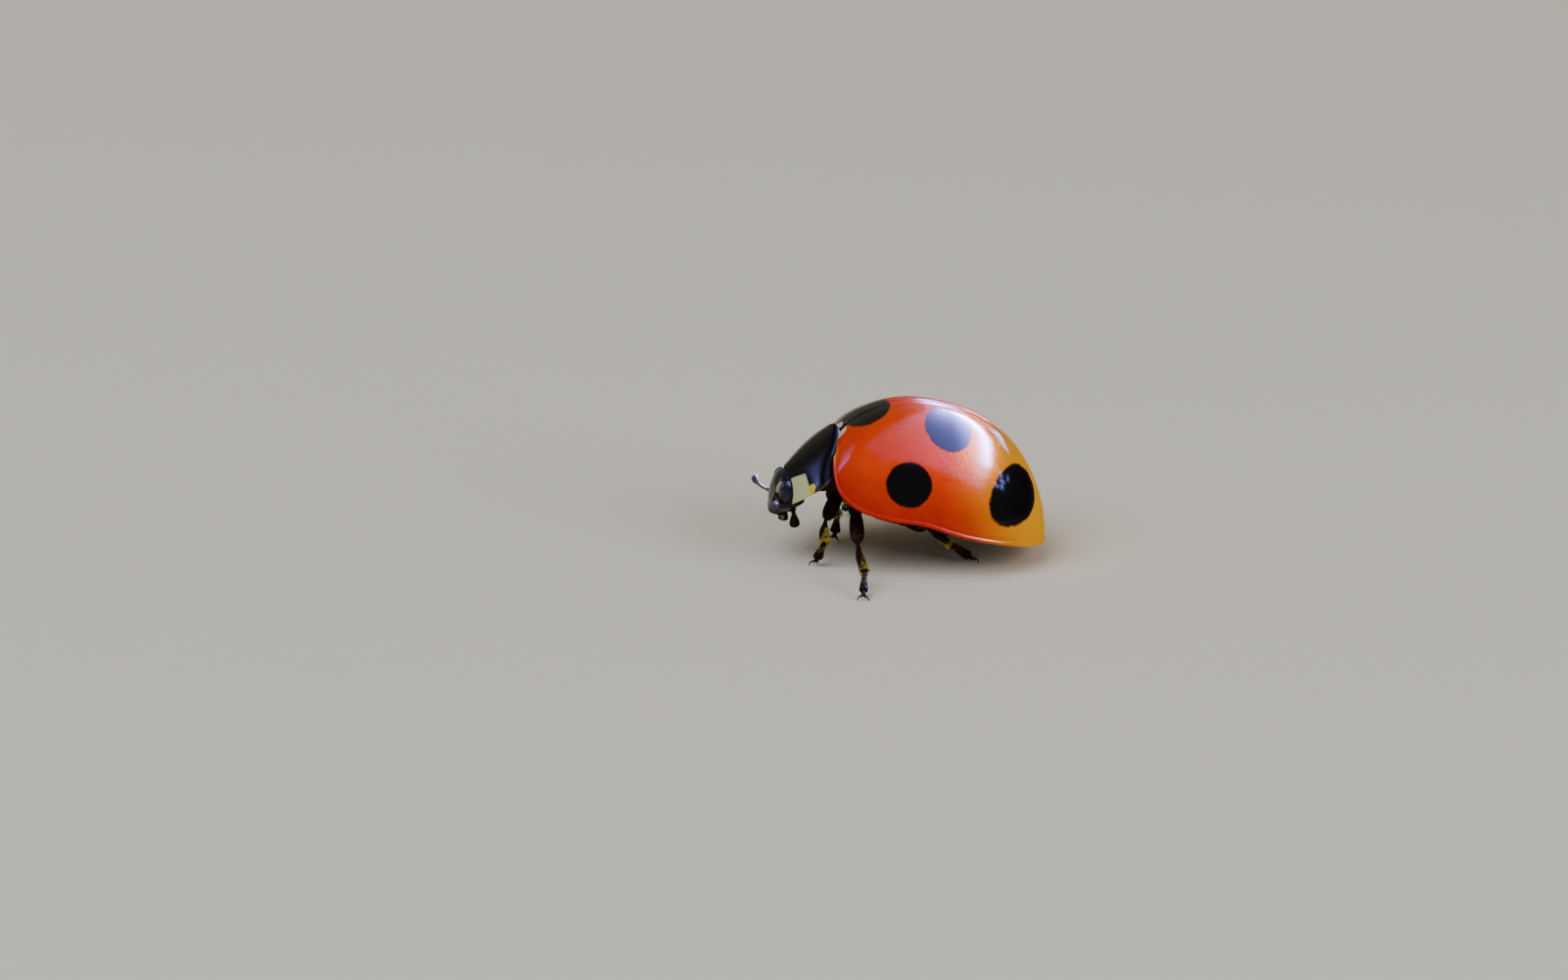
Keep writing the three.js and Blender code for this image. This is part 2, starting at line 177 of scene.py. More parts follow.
# Quads over a grid of rows x columns points. A wrapped grid joins its last column to its first.
def gridFaces(rows, columns, wrap=False, start=0, flip=False):
    faces = []
    for j in range(rows - 1):
        for i in range(columns if wrap else columns - 1):
            k = (i + 1) % columns
            quad = [j * columns + i, j * columns + k, (j + 1) * columns + k, (j + 1) * columns + i]
            faces.append([start + q for q in (quad[::-1] if flip else quad)])
    return faces


# The closed body between an upper and a lower sheet of points on one grid.
def sheetFaces(rows, columns):
    total = rows * columns
    faces = gridFaces(rows, columns) + gridFaces(rows, columns, start=total, flip=True)
    rim = ([j * columns for j in range(rows)] + [(rows - 1) * columns + i for i in range(1, columns)]
           + [j * columns + columns - 1 for j in range(rows - 2, -1, -1)] + list(range(columns - 2, 0, -1)))
    for a, b in zip(rim, rim[1:] + rim[:1]):
        faces.append([a, b, total + b, total + a])
    return faces


# One piece from several closed lumps, each given as its points and faces.
def lumpPiece(name, lumps, material, place=np.asarray, **rest):
    points, faces, count = [], [], 0
    for own, ownFaces in lumps:
        points.append(np.asarray(own, float))
        faces += [[corner + count for corner in face] for face in ownFaces]
        count += len(own)
    return newPiece(name, place(np.concatenate(points)), faces, material, **rest)


# A closed bar along a line of points. Each station has a half width and a half height, the height
# measured along the side that faces up.
def barParts(line, halfWidths, halfHeights=None, up=(0, 0, 1), sides=16):
    line = np.asarray(line, float)
    halfWidths = np.asarray(halfWidths, float)
    halfHeights = halfWidths if halfHeights is None else np.asarray(halfHeights, float)
    ahead = np.gradient(line, axis=0)
    ahead /= np.linalg.norm(ahead, axis=1)[:, None]
    across = np.cross(ahead, np.asarray(up, float))
    across /= np.linalg.norm(across, axis=1)[:, None]
    above = np.cross(across, ahead)
    turn = np.linspace(0, 2 * math.pi, sides, endpoint=False)
    ring = (np.cos(turn)[None, :, None] * across[:, None] * halfWidths[:, None, None]
            + np.sin(turn)[None, :, None] * above[:, None] * halfHeights[:, None, None])
    points = (line[:, None] + ring).reshape(-1, 3)
    stations = len(line)
    faces = gridFaces(stations, sides, wrap=True, flip=True)
    faces.append(list(range(sides)))
    faces.append(list(range((stations - 1) * sides, stations * sides))[::-1])
    return points, faces


# A ball whose points are moved by shape(x, y, z), given on the unit sphere with +Z as its pole.
def ballParts(shape, around=32, upward=20):
    tilt = np.linspace(0, math.pi, upward + 1)[1:-1]
    turn = np.linspace(0, 2 * math.pi, around, endpoint=False)
    tiltGrid, turnGrid = np.meshgrid(tilt, turn, indexing="ij")
    x = np.sin(tiltGrid) * np.cos(turnGrid)
    y = np.sin(tiltGrid) * np.sin(turnGrid)
    z = np.cos(tiltGrid)
    x, y, z = (np.concatenate([v.ravel(), ends]) for v, ends in ((x, [0, 0]), (y, [0, 0]), (z, [1, -1])))
    points = np.stack(shape(x, y, z), -1)
    faces = gridFaces(upward - 1, around, wrap=True, flip=True)
    top, bottom = len(points) - 2, len(points) - 1
    last = (upward - 2) * around
    for i in range(around):
        k = (i + 1) % around
        faces.append([top, i, k])
        faces.append([bottom, last + k, last + i])
    return points, faces


def ellipsoidParts(centre, size, around=24, upward=16):
    def shape(x, y, z):
        return centre[0] + x * size[0], centre[1] + y * size[1], centre[2] + z * size[2]
    return ballParts(shape, around, upward)


# A socket as a value: arithmetic on it adds Math nodes.
class Value:
    def __init__(self, shader, socket):
        self.shader = shader
        self.socket = socket

    def __add__(self, other):
        return self.shader.math("ADD", self, other)

    def __sub__(self, other):
        return self.shader.math("SUBTRACT", self, other)

    def __rsub__(self, other):
        return self.shader.math("SUBTRACT", other, self)

    def __mul__(self, other):
        return self.shader.math("MULTIPLY", self, other)

    def __truediv__(self, other):
        return self.shader.math("DIVIDE", self, other)

    def __pow__(self, other):
        return self.shader.math("POWER", self, other)

    def __abs__(self):
        return self.shader.math("ABSOLUTE", self)

    __radd__ = __add__
    __rmul__ = __mul__


class Shader:
    def __init__(self, name, **constants):
        self.material = bpy.data.materials.new(name)
        self.material.use_nodes = True
        self.nodes = self.material.node_tree.nodes
        self.links = self.material.node_tree.links
        self.surface = self.nodes["Principled BSDF"]
        for socket, value in constants.items():
            self.surface.inputs[socket].default_value = value
        place = self.node("ShaderNodeTexCoord", {}).outputs["Object"]
        self.place = self.vector("SCALE", place, Scale=1 / metres)

    # Makes a node, with its settings, and its inputs given as numbers, values or sockets.
    def node(self, kind, inputs, **settings):
        made = self.nodes.new(kind)
        for key, setting in settings.items():
            setattr(made, key, setting)
        for key, value in inputs.items():
            self.feed(made.inputs[key], value)
        return made

    def feed(self, socket, value):
        if isinstance(value, Value):
            value = value.socket
        if isinstance(value, bpy.types.NodeSocket):
            self.links.new(value, socket)
        else:
            socket.default_value = value

    def math(self, operation, *values):
        made = self.node("ShaderNodeMath", dict(enumerate(values)), operation=operation)
        return Value(self, made.outputs[0])

    def vector(self, operation, *values, **named):
        made = self.node("ShaderNodeVectorMath", {**dict(enumerate(values)), **named}, operation=operation)
        return Value(self, made.outputs["Value" if operation == "DOT_PRODUCT" else "Vector"])

    def along(self, origin, axis):
        return self.vector("DOT_PRODUCT", self.vector("SUBTRACT", self.place, tuple(origin)), tuple(axis))

    # How far each point lies from a place, as a share of a size along each of three directions.
    def reach(self, origin, axes, sizes):
        share = [self.along(origin, axis / size) for axis, size in zip(axes, sizes)]
        return (share[0] * share[0] + share[1] * share[1] + share[2] * share[2]) ** 0.5

    def smooth(self, value, low, high):
        made = self.node("ShaderNodeMapRange", {"Value": value, "From Min": low, "From Max": high},
                         interpolation_type="SMOOTHSTEP")
        return Value(self, made.outputs["Result"])

    def noise(self, scale, detail=3.0, roughness=0.55):
        inputs = {"Vector": self.place, "Scale": scale, "Detail": detail, "Roughness": roughness}
        return Value(self, self.node("ShaderNodeTexNoise", inputs).outputs["Fac"])

    def cells(self, scale, randomness=1.0):
        inputs = {"Vector": self.place, "Scale": scale, "Randomness": randomness}
        return Value(self, self.node("ShaderNodeTexVoronoi", inputs).outputs["Distance"])

    def attribute(self, name):
        return Value(self, self.node("ShaderNodeAttribute", {}, attribute_name=name).outputs["Fac"])

    def blend(self, factor, first, second):
        made = self.node("ShaderNodeMix", {}, data_type="RGBA", clamp_factor=True)
        self.feed(made.inputs[0], factor)
        for socket, colour in ((made.inputs[6], first), (made.inputs[7], second)):
            self.feed(socket, (*colour, 1.0) if isinstance(colour, tuple) else colour)
        return Value(self, made.outputs[2])

    # Heights are in millimetres.
    def relief(self, height, strength):
        made = self.node("ShaderNodeBump", {"Height": height, "Strength": strength, "Distance": metres})
        self.feed(self.surface.inputs["Normal"], made.outputs["Normal"])

    # A number with noise over it.
    def vary(self, base, scale, spread):
        return base + self.noise(scale) * spread

    # Round pits, each deepest in its middle, over a grain.
    def pitted(self, pitScale, pitEdge, pitDepth, grainScale, grainDepth, strength):
        pits = self.smooth(self.cells(pitScale), 0.0, pitEdge) * pitDepth
        self.relief(pits + self.noise(grainScale) * grainDepth, strength)

    def paint(self, **links):
        for socket, value in links.items():
            self.feed(self.surface.inputs[socket.replace("_", " ")], value)
        return self.material


# Spots and pale patches of the wing cases, and then their colours and finish.
markings = {
    "edge": 0.045, "depth": 1.6,
    "wobbleNoise": (3.2, 4.0), "wobble": 0.16, "fineNoise": (14.0, 2.0), "fineWobble": 0.1,
    # across from the seam and along from the crown, and the half length and half width of each spot
    "discal": (1.256, -0.014, 0.62, 0.82),
    "side": (2.55, -0.895, 0.58, 0.585),
    "rear": (1.79, 2.06, 0.70, 1.07),
    "base": (0.0, -1.947, 0.60, 0.88),
    "base_right": (0.0, -2.2, 0.92, 1.45),
    "cream": (0.25, -2.6, 0.3, 0.27),
    "cream_right": (0.3, -2.62, 0.3, 0.26),
    # a yellowish strip at the front edge: where it fades, lengthwise and across
    "strip": (-2.66, -2.6), "stripAcross": (0.9, 1.5), "stripShare": 0.7,
}
caseColours = {
    # the dark red is painted shade on the lower dome and in the pits, and also a random mottle
    "front": (0.77, 0.05, 0.004), "rear": (0.98, 0.43, 0.0), "shadeAndMottle": (0.46, 0.010, 0.0),
    # the crown colour is a painted warm reflection on the top of the dome
    "crown": (0.90, 0.16, 0.0), "spot": (0.003, 0.003, 0.004), "brown": (0.09, 0.012, 0.003),
    "cream": (0.88, 0.74, 0.42), "yellow": (0.75, 0.36, 0.05),
}
caseFinish = {
    "surface": {"Specular IOR Level": 0.0, "Coat Roughness": 0.09, "Coat IOR": 1.28},
    # a pair says where a tint or a gloss begins and ends
    "rear": (0.1, 2.9), "rearHold": 0.85, "crown": (0.55, 1.0), "crownShare": 0.22,
    # painted shade darkens the lower part of the dome
    "low": (0.0, 0.5), "lowShadeShare": 0.75,
    "mottleNoise": (1.3, 5.0, 0.6), "mottle": (0.35, 0.8), "mottleShare": 0.3,
    # the pits' middles are darkened with painted shade
    "pitScale": 9.0, "pitShade": (0.0, 0.25), "pitShadeShare": 0.25, "pitEdge": (0.0, 0.35), "pitDepth": 0.004,
    # scale, detail and height of each layer of the fine relief
    "grain": [(2.2, 3.0, 0.012), (7.5, 3.0, 0.016), (15.0, 2.0, 0.006), (28.0, 3.0, 0.0015)], "strength": 0.8,
    "roughness": (0.28, 6.0, 0.08), "metallic": 0.06, "metallicEnd": (0.9, 2.2), "coat": 0.5, "spotCoat": 0.5,
    "dullRim": (0.02, 0.045), "dullRimEnd": (-0.4, 0.9), "dullRimShare": 0.85,
    "dullHind": (1.5, 2.7), "dullHindShare": 0.9, "brownReach": 0.6,
}
wedge = {
    "base": -2.74, "tip": -2.34, "halfWidth": 0.26, "depth": 0.3, "rise": 0.02, "dip": 0.05,
    "rows": 25, "columns": 31, "taper": 0.97, "bulge": 0.25, "rounding": 0.25, "tipRounding": 1.5,
    "horn": ((0.006, 0.006, 0.007), 0.3, 14.0, 0.004),
}
wingCase = {
    "angles": 180, "crowding": 0.85, "rings": 110, "ringCrowding": 1.6, "innerRings": 14, "innerFrom": 0.93,
    "lapSteps": 6, "lap": 0.42, "lapSag": 0.03, "lapRise": 0.02, "thickness": 0.4,
    "seam": 0.006, "seamDepth": 0.025, "seamWidth": 0.03,
    "bead": 0.022, "beadAt": 0.055, "beadWidth": 0.026,
    "groove": 0.022, "grooveAt": 0.13, "grooveWidth": 0.04, "sink": 0.017, "shoulder": (1.5, -2.2),
    "shoulderRadius": 0.42, "shoulderRise": 0.05,
    "wedgeDip": 0.05, "wedgeSoft": (-0.01, 0.07), "wedgeEnd": (-0.02, 0.08),
}


# The point of the dome over a place in plan, its outward direction and its lengthwise direction.
def domeFrame(x, y):
    def over(px, py):
        angle, radius = math.atan2(px, py), math.hypot(px, py)
        return np.array([px, py, float(domeHeight(np.array(angle), np.array(radius)))])
    step = 0.02
    lengthwise = over(x, y + step) - over(x, y - step)
    across = over(x + step, y) - over(x - step, y)
    normal = np.cross(across, lengthwise)
    lengthwise /= np.linalg.norm(lengthwise)
    normal /= np.linalg.norm(normal)
    return over(x, y), normal, lengthwise


def spotMask(shader, side, spot, wobble):
    x, y, halfLength, halfWidth = spot
    point, normal, lengthwise = domeFrame(side * x, y)
    axes = [turned(axis, -pose["pitch"]) for axis in (lengthwise, np.cross(normal, lengthwise), normal)]
    reach = shader.reach(placeBody(point), axes, (halfLength, halfWidth, markings["depth"]))
    return 1 - shader.smooth(reach + wobble, 1 - markings["edge"], 1 + markings["edge"])


def wingCaseMaterial(side):
    f, m, colours = caseFinish, markings, caseColours
    shader = Shader("wing_case", **f["surface"])
    wobble = ((shader.noise(*m["wobbleNoise"]) - 0.5) * m["wobble"]
              + (shader.noise(*m["fineNoise"]) - 0.5) * m["fineWobble"])
    lengthwise = shader.along(shift, (0, 1, 0))
    rear = shader.smooth(lengthwise, *f["rear"])
    # painted reflection: the top of the dome is tinted orange, standing in for warm light reflected there
    crown = shader.smooth(shader.attribute("climb"), *f["crown"])
    red = shader.blend(crown * f["crownShare"], colours["front"], colours["crown"])
    red = shader.blend(rear, red, colours["rear"])
    mottle = shader.smooth(shader.noise(*f["mottleNoise"]), *f["mottle"])
    # painted shade: the dome is darker low down towards its rim, less so at the rear, with a random mottle
    # added
    low = 1 - shader.smooth(shader.attribute("climb"), *f["low"])
    shadeAndMottle = (mottle * f["mottleShare"] + low * f["lowShadeShare"]) * (1 - rear * f["rearHold"])
    red = shader.blend(shadeAndMottle, red, colours["shadeAndMottle"])
    # painted shade: the middles of the pits are tinted dark red
    pits = shader.cells(f["pitScale"])
    red = shader.blend((1 - shader.smooth(pits, *f["pitShade"])) * f["pitShadeShare"], red, colours["shadeAndMottle"])
    spots = [spotMask(shader, side, m[name], wobble)
             for name in ("discal", "side", "rear", "base" if side > 0 else "base_right")]
    black = shader.math("MAXIMUM", shader.math("MAXIMUM", spots[0], spots[1]),
                        shader.math("MAXIMUM", spots[2], spots[3]))
    cream = spotMask(shader, side, m["cream" if side > 0 else "cream_right"], wobble)
    black = black * (1 - cream)
    forward = shader.along(placeBody((0, 0, 0)), turned((0, 1, 0), -pose["pitch"]))
    edge = 1 - shader.smooth(forward, *m["strip"])
    strip = edge * (1 - shader.smooth(abs(shader.along(shift, (1, 0, 0))), *m["stripAcross"]))
    colour = shader.blend(strip * m["stripShare"], red, colours["yellow"])
    colour = shader.blend(cream, colour, colours["cream"])
    # a brown edge shows where a spot fades
    colour = shader.blend(black ** f["brownReach"], colour, colours["brown"])
    colour = shader.blend(black, colour, colours["spot"])
    height = shader.smooth(pits, *f["pitEdge"]) * f["pitDepth"]
    for scale, detail, depth in f["grain"]:
        height = height + shader.noise(scale, detail) * depth
    shader.relief(height, f["strength"])
    # the gloss is dull on the rim in front and at the hind end
    rim = 1 - shader.smooth(shader.attribute("climb"), *f["dullRim"])
    dull = shader.math("MAXIMUM", rim * (1 - shader.smooth(lengthwise, *f["dullRimEnd"])) * f["dullRimShare"],
                       shader.smooth(lengthwise, *f["dullHind"]) * f["dullHindShare"])
    return shader.paint(Base_Color=colour, Roughness=shader.vary(*f["roughness"]),
                        Metallic=(1 - shader.smooth(lengthwise, *f["metallicEnd"])) * f["metallic"],
                        Coat_Weight=(f["coat"] + black * f["spotCoat"]) * (1 - dull))


def wingCasePiece(end, side):
    w = wingCase
    share = np.linspace(0, 1, w["angles"] + 1)
    angle = math.pi * (share - w["crowding"] * np.sin(2 * math.pi * share) / (2 * math.pi))
    ring = np.linspace(0, 1, w["rings"])
    spread = np.sin((1 - (1 - ring) ** w["ringCrowding"]) * math.pi / 2)
    angleGrid, spreadGrid = np.meshgrid(angle, spread, indexing="ij")
    outer = domePoint(angleGrid, spreadGrid)
    radial = np.stack([np.sin(angleGrid), np.cos(angleGrid)], -1)
    radius = (outer[..., :2] * radial).sum(-1)
    slopeR = np.gradient(radius, axis=1)
    slopeZ = np.gradient(outer[..., 2], axis=1)
    length = np.hypot(slopeR, slopeZ)
    normalR, normalZ = -slopeZ / length, slopeR / length
    travelled = np.cumsum(np.hypot(np.diff(radius, axis=1), np.diff(outer[..., 2], axis=1)), axis=1)
    travelled = np.concatenate([np.zeros((len(angle), 1)), travelled], axis=1)
    toEdge = travelled[:, -1:] - travelled
    swell = (w["bead"] * bump(toEdge - w["beadAt"], w["beadWidth"])
             - w["groove"] * bump(toEdge - w["grooveAt"], w["grooveWidth"]) - w["sink"])
    fromShoulder = np.hypot(outer[..., 0] - w["shoulder"][0], outer[..., 1] - w["shoulder"][1])
    swell += w["shoulderRise"] * bump(fromShoulder, w["shoulderRadius"])
    # the front corner beside the seam dips under the scutellum
    toTip = np.clip((outer[..., 1] - wedge["base"]) / (wedge["tip"] - wedge["base"]), 0, 1)
    toWedge = np.abs(outer[..., 0]) - wedge["halfWidth"] * (1 - toTip)
    inFront = 1 - smoothStep(outer[..., 1], *(wedge["tip"] + end for end in w["wedgeEnd"]))
    swell -= w["wedgeDip"] * (1 - smoothStep(toWedge, *w["wedgeSoft"])) * inFront
    radius = radius + normalR * swell
    height = outer[..., 2] + normalZ * swell - w["seamDepth"] * bump(outer[..., 0], w["seamWidth"])

    lapShare = np.linspace(0, 1, w["lapSteps"] + 1)[1:]
    lapRadius = radius[:, -1:] - w["lap"] * lapShare
    lapHeight = height[:, -1:] - w["lapSag"] * np.sin(lapShare * math.pi) + w["lapRise"] * lapShare
    innerSpread = np.sin(np.linspace(w["innerFrom"], 0, w["innerRings"]) * math.pi / 2)
    inner = domePoint(*np.meshgrid(angle, innerSpread, indexing="ij"), inset=w["thickness"])
    innerRadius = np.hypot(inner[..., 0], inner[..., 1])
    radius = np.concatenate([radius, lapRadius, innerRadius], axis=1)
    height = np.concatenate([height, lapHeight, inner[..., 2]], axis=1)

    points = np.stack([side * (w["seam"] + radius * np.sin(angle)[:, None]),
                       radius * np.cos(angle)[:, None], height], -1)
    columns = points.shape[1]
    faces = gridFaces(len(angle), columns, flip=side > 0)
    first = list(range(columns))
    last = list(range((len(angle) - 1) * columns, len(angle) * columns))
    faces += [first[::side], last[::-side]]
    piece = newPiece(f"wing_case_{end}", placeBody(points.reshape(-1, 3)), faces, wingCaseMaterial(side),
                     f"elytron_{end}", "wing_case")
    climb = np.clip((points[..., 2] - rimHeight(points[..., 1])) / dome["height"], 0, 1)
    giveValues(piece, "climb", climb.ravel())


for end, side in sideSigns.items():
    wingCasePiece(end, side)
print("wing cases made")


# The plate behind the head.
shield = {
    "length": 1.8, "hindHalfWidth": 1.94, "frontHalfWidth": 1.11, "narrowing": 1.88,
    "cornerRound": 0.27, "cornerPower": 7, "cornerAdvance": 0.92, "advancePower": 1.46,
    "frontAdvance": 0.31, "frontPower": 5, "eyeNotch": 0.04, "drop": 0.53, "dropPower": 2.23, "arch": 0.035,
    "thickness": 0.5, "marginThickness": 0.04, "slope": 53.65, "at": (0, -2.65, 1.645),
    "across": 120, "forward": 70, "rounding": 0.03, "bead": 0.012, "beadAt": 0.05, "beadWidth": 0.03,
    "rimBand": (0.975, 0.99), "hindBand": (0.02, 0.07), "hindSpread": 0.2,
}
shieldFinish = {
    "surface": {"Specular IOR Level": 0.0, "Coat Roughness": 0.14, "Coat IOR": 1.25},
    "black": (0.004, 0.004, 0.004), "white": (0.60, 0.60, 0.34), "yellow": (0.70, 0.58, 0.01),
    # a pale tint along the side rim is a painted highlight
    "margin": (0.42, 0.36, 0.26), "marginFrom": (0.5, 0.9), "marginShare": 0.1,
    "wobbleNoise": (5.0, 3.0), "wobble": 0.07,
    # the pale corner's slanting inner edge and its hind edge
    "inner": (0.746, 0.666, 1.629), "hind": (1.323, 1.0, 0.22), "soft": (0.0, 0.04),
    "yellowAt": (1.62, 1.42), "yellowSize": (0.14, 0.12), "yellowEdge": (0.85, 1.1),
    "relief": (13.0, 0.3, 0.004, 3.0, 0.01, 0.7), "roughness": (0.3, 9.0, 0.12), "hindRoughness": 0.4,
    "coat": 0.7, "hindCoat": 0.65,
}


def placeShield(points):
    return placeBody(turned(points, shield["slope"]) + np.array(shield["at"]))


def shieldSheet(across, forward, below):
    w = shield
    t = 2 * across - 1
    side = np.abs(t)
    halfWidth = w["hindHalfWidth"] + (w["frontHalfWidth"] - w["hindHalfWidth"]) * forward ** w["narrowing"]
    halfWidth = halfWidth - w["cornerRound"] * (1 - forward) ** w["cornerPower"]
    hind = w["cornerAdvance"] * side ** w["advancePower"]
    front = (w["length"] + w["frontAdvance"] * side ** w["frontPower"]
             - w["eyeNotch"] * np.sin(math.pi * side) ** 2)
    ahead = hind + (front - hind) * forward
    thickness = w["thickness"] + (w["marginThickness"] - w["thickness"]) * side ** 3
    rise = w["arch"] * np.sin(math.pi * forward) - w["drop"] * side ** w["dropPower"]
    # the rim is rounded in front and at the sides, with a fine raised bead along the sides
    toSide = (1 - side) * halfWidth
    toEnd = (1 - forward) * (front - hind) + np.where(forward < 0.5, w["length"], 0)
    near = np.clip(1 - np.minimum(toSide, toEnd) / w["rounding"], 0, 1)
    fall = (1 - np.sqrt(1 - near ** 2)) * thickness * 0.5
    raised = w["bead"] * bump(toSide - w["beadAt"], w["beadWidth"])
    height = rise - thickness + fall if below else rise - fall + raised
    return np.stack([t * halfWidth, -ahead, height], -1)


def shieldMaterial():
    f = shieldFinish
    shader = Shader("pronotum", **f["surface"])
    origin = placeShield((0, 0, 0))
    axes = [placeShield(axis) - origin for axis in ((1, 0, 0), (0, -1, 0))]
    wobble = (shader.noise(*f["wobbleNoise"]) - 0.5) * f["wobble"]
    aside = abs(shader.along(origin, axes[0]))
    ahead = shader.along(origin, axes[1])
    inner = aside * f["inner"][0] + ahead * f["inner"][1] - f["inner"][2] + wobble
    fromHind = ahead - f["hind"][0] - (aside - f["hind"][1]) * f["hind"][2] + wobble
    patch = shader.smooth(inner, *f["soft"]) * shader.smooth(fromHind, *f["soft"])
    toYellow = (((aside - f["yellowAt"][0]) / f["yellowSize"][0]) ** 2
                + ((ahead - f["yellowAt"][1]) / f["yellowSize"][1]) ** 2) ** 0.5
    yellow = 1 - shader.smooth(toYellow + wobble, *f["yellowEdge"])
    # painted highlight: a pale tint along the side rim
    rim = shader.smooth(shader.attribute("rim"), *f["marginFrom"])
    colour = shader.blend(rim * f["marginShare"], f["black"], f["margin"])
    colour = shader.blend(patch, colour, f["white"])
    colour = shader.blend(yellow, colour, f["yellow"])
    shader.pitted(*f["relief"])
    hind = shader.attribute("hind")
    return shader.paint(Base_Color=colour, Roughness=shader.vary(*f["roughness"]) + hind * f["hindRoughness"],
                        Coat_Weight=f["coat"] - hind * f["hindCoat"])


def shieldPiece():
    columns, rows = shield["across"] + 1, shield["forward"] + 1
    u = (1 - np.cos(np.linspace(0, math.pi, columns))) / 2
    v = (1 - np.cos(np.linspace(0, math.pi, rows))) / 2
    forward, across = np.meshgrid(v, u, indexing="ij")
    sheets = [shieldSheet(across, forward, below).reshape(-1, 3) for below in (False, True)]
    piece = newPiece("pronotum_plate", placeShield(np.concatenate(sheets)), sheetFaces(rows, columns),
                     shieldMaterial(), "pronotum", "black_shell")
    side = np.abs(2 * across - 1).ravel()
    giveValues(piece, "rim", np.tile(smoothStep(side, *shield["rimBand"]), 2))
    near, far = shield["hindBand"]
    ahead = smoothStep(forward.ravel(), near, far + shield["hindSpread"] * side ** 3)
    giveValues(piece, "hind", np.tile(1 - ahead, 2))


shieldPiece()
print("pronotum made")


# What the dark horn of all small pieces shares.
chitin = {
    "surface": {"Specular IOR Level": 0.0, "Coat Weight": 0.14, "Coat Roughness": 0.22, "Coat IOR": 1.3},
    "tintNoise": (4.0, 5.0), "tint": (0.4, 0.75), "pitEdge": 0.35, "grain": (12.0, 0.003, 0.8),
    "roughness": (8.0, 0.15),
}


# Its values are colour, roughness, how many pits a millimetre has, their depth, and a second colour.
def chitinMaterial(name, colour, roughness, pitScale, pitDepth, tint=None):
    shader = Shader(name, **chitin["surface"])
    mottle = shader.smooth(shader.noise(*chitin["tintNoise"]), *chitin["tint"])
    tone = shader.blend(mottle, colour, tint or colour)
    shader.pitted(pitScale, chitin["pitEdge"], pitDepth, *chitin["grain"])
    return shader.paint(Base_Color=tone, Roughness=shader.vary(roughness, *chitin["roughness"]))


def wedgePiece():
    w = wedge
    v, u = np.meshgrid(np.linspace(0, 1, w["rows"]), np.linspace(-1, 1, w["columns"]), indexing="ij")
    x = u * w["halfWidth"] * (1 - v * w["taper"]) * (1 + w["bulge"] * v * (1 - v))
    y = w["base"] + v * (w["tip"] - w["base"])
    rounded = np.minimum(1 - np.abs(u), (1 - v) * w["tipRounding"])
    rise = w["rise"] * np.sqrt(np.clip(rounded / w["rounding"], 0, 1)) - w["dip"]
    top = np.stack([x, y, domeHeight(np.arctan2(x, y), np.hypot(x, y)) + rise], -1).reshape(-1, 3)
    points = np.concatenate([top, top - np.array([0, 0, w["depth"]])])
    faces = [face[::-1] for face in sheetFaces(w["rows"], w["columns"])]
    newPiece("scutellum_wedge", placeBody(points), faces, chitinMaterial("scutellum", *w["horn"]),
             "scutellum", "black_shell")


wedgePiece()
print("scutellum made")


headShape = {
    "halfWidth": 0.78, "halfDepth": 0.57, "rearDepth": 0.34, "halfHeight": 0.73, "squareness": 0.8,
    "chinTaper": 0.36, "taperPower": 1.4, "jaw": (0.84, 0.1), "jawFrom": -0.8, "jawReach": 1.35,
    "jawPower": 1.3, "at": (0, -3.35, -0.45), "lean": 4, "around": 128, "upward": 84, "face": (0.1, 0.35),
    "socket": (0.55, -0.06), "socketRadius": 0.09, "socketDepth": 0.08,
    "socketRim": 0.02, "socketRimAt": 0.14, "socketRimWidth": 0.035,
    "clypeus": -0.34, "clypeusRise": 0.04, "clypeusSoft": 0.06, "clypeusEnd": (0.4, 0.58),
    "lipGroove": 0.05, "lipGrooveBelow": 0.13,
    "browDip": 0.02, "browAt": (0.28, 0.1), "browSize": (0.1, 0.22),
    "eyeReach": (0.25, 0.24, 0.3), "eyeGroove": 0.025, "eyeGrooveWidth": 0.09,
}
headFinish = {
    "surface": {"Specular IOR Level": 0.04, "Coat Weight": 0.75, "Coat Roughness": 0.15, "Coat IOR": 1.28},
    "black": (0.007, 0.007, 0.008), "pale": (0.36, 0.32, 0.17),
    # the pale spot inside each eye
    "spot": (0.53, -0.48, 0.34), "spotSize": (0.1, 0.2, 0.17), "spotEdge": (0.8, 1.15),
    "wobbleScale": 9.0, "wobble": 0.4,
    "relief": (15.0, 0.35, 0.006, 14.0, 0.003, 0.9), "roughness": (0.3, 9.0, 0.15),
}
eyeShape = {"at": (0.66, -0.23, 0.28), "size": (0.22, 0.21, 0.28), "around": 56, "upward": 40}
eyeFinish = {
    "surface": {"Specular IOR Level": 0.05, "Roughness": 0.25, "Coat Weight": 1.0, "Coat Roughness": 0.12,
                "Coat IOR": 1.3},
    "colours": ((0.010, 0.010, 0.022), (0.026, 0.026, 0.06)), "tintScale": 3.0, "tint": (0.35, 0.7),
    "facetScale": 42.0, "facetDisorder": 0.25, "facetEdge": 0.5, "facetDepth": -0.004, "strength": 0.9,
}


def placeHead(points):
    return placeBody(turned(points, headShape["lean"]) + np.array(headShape["at"]))


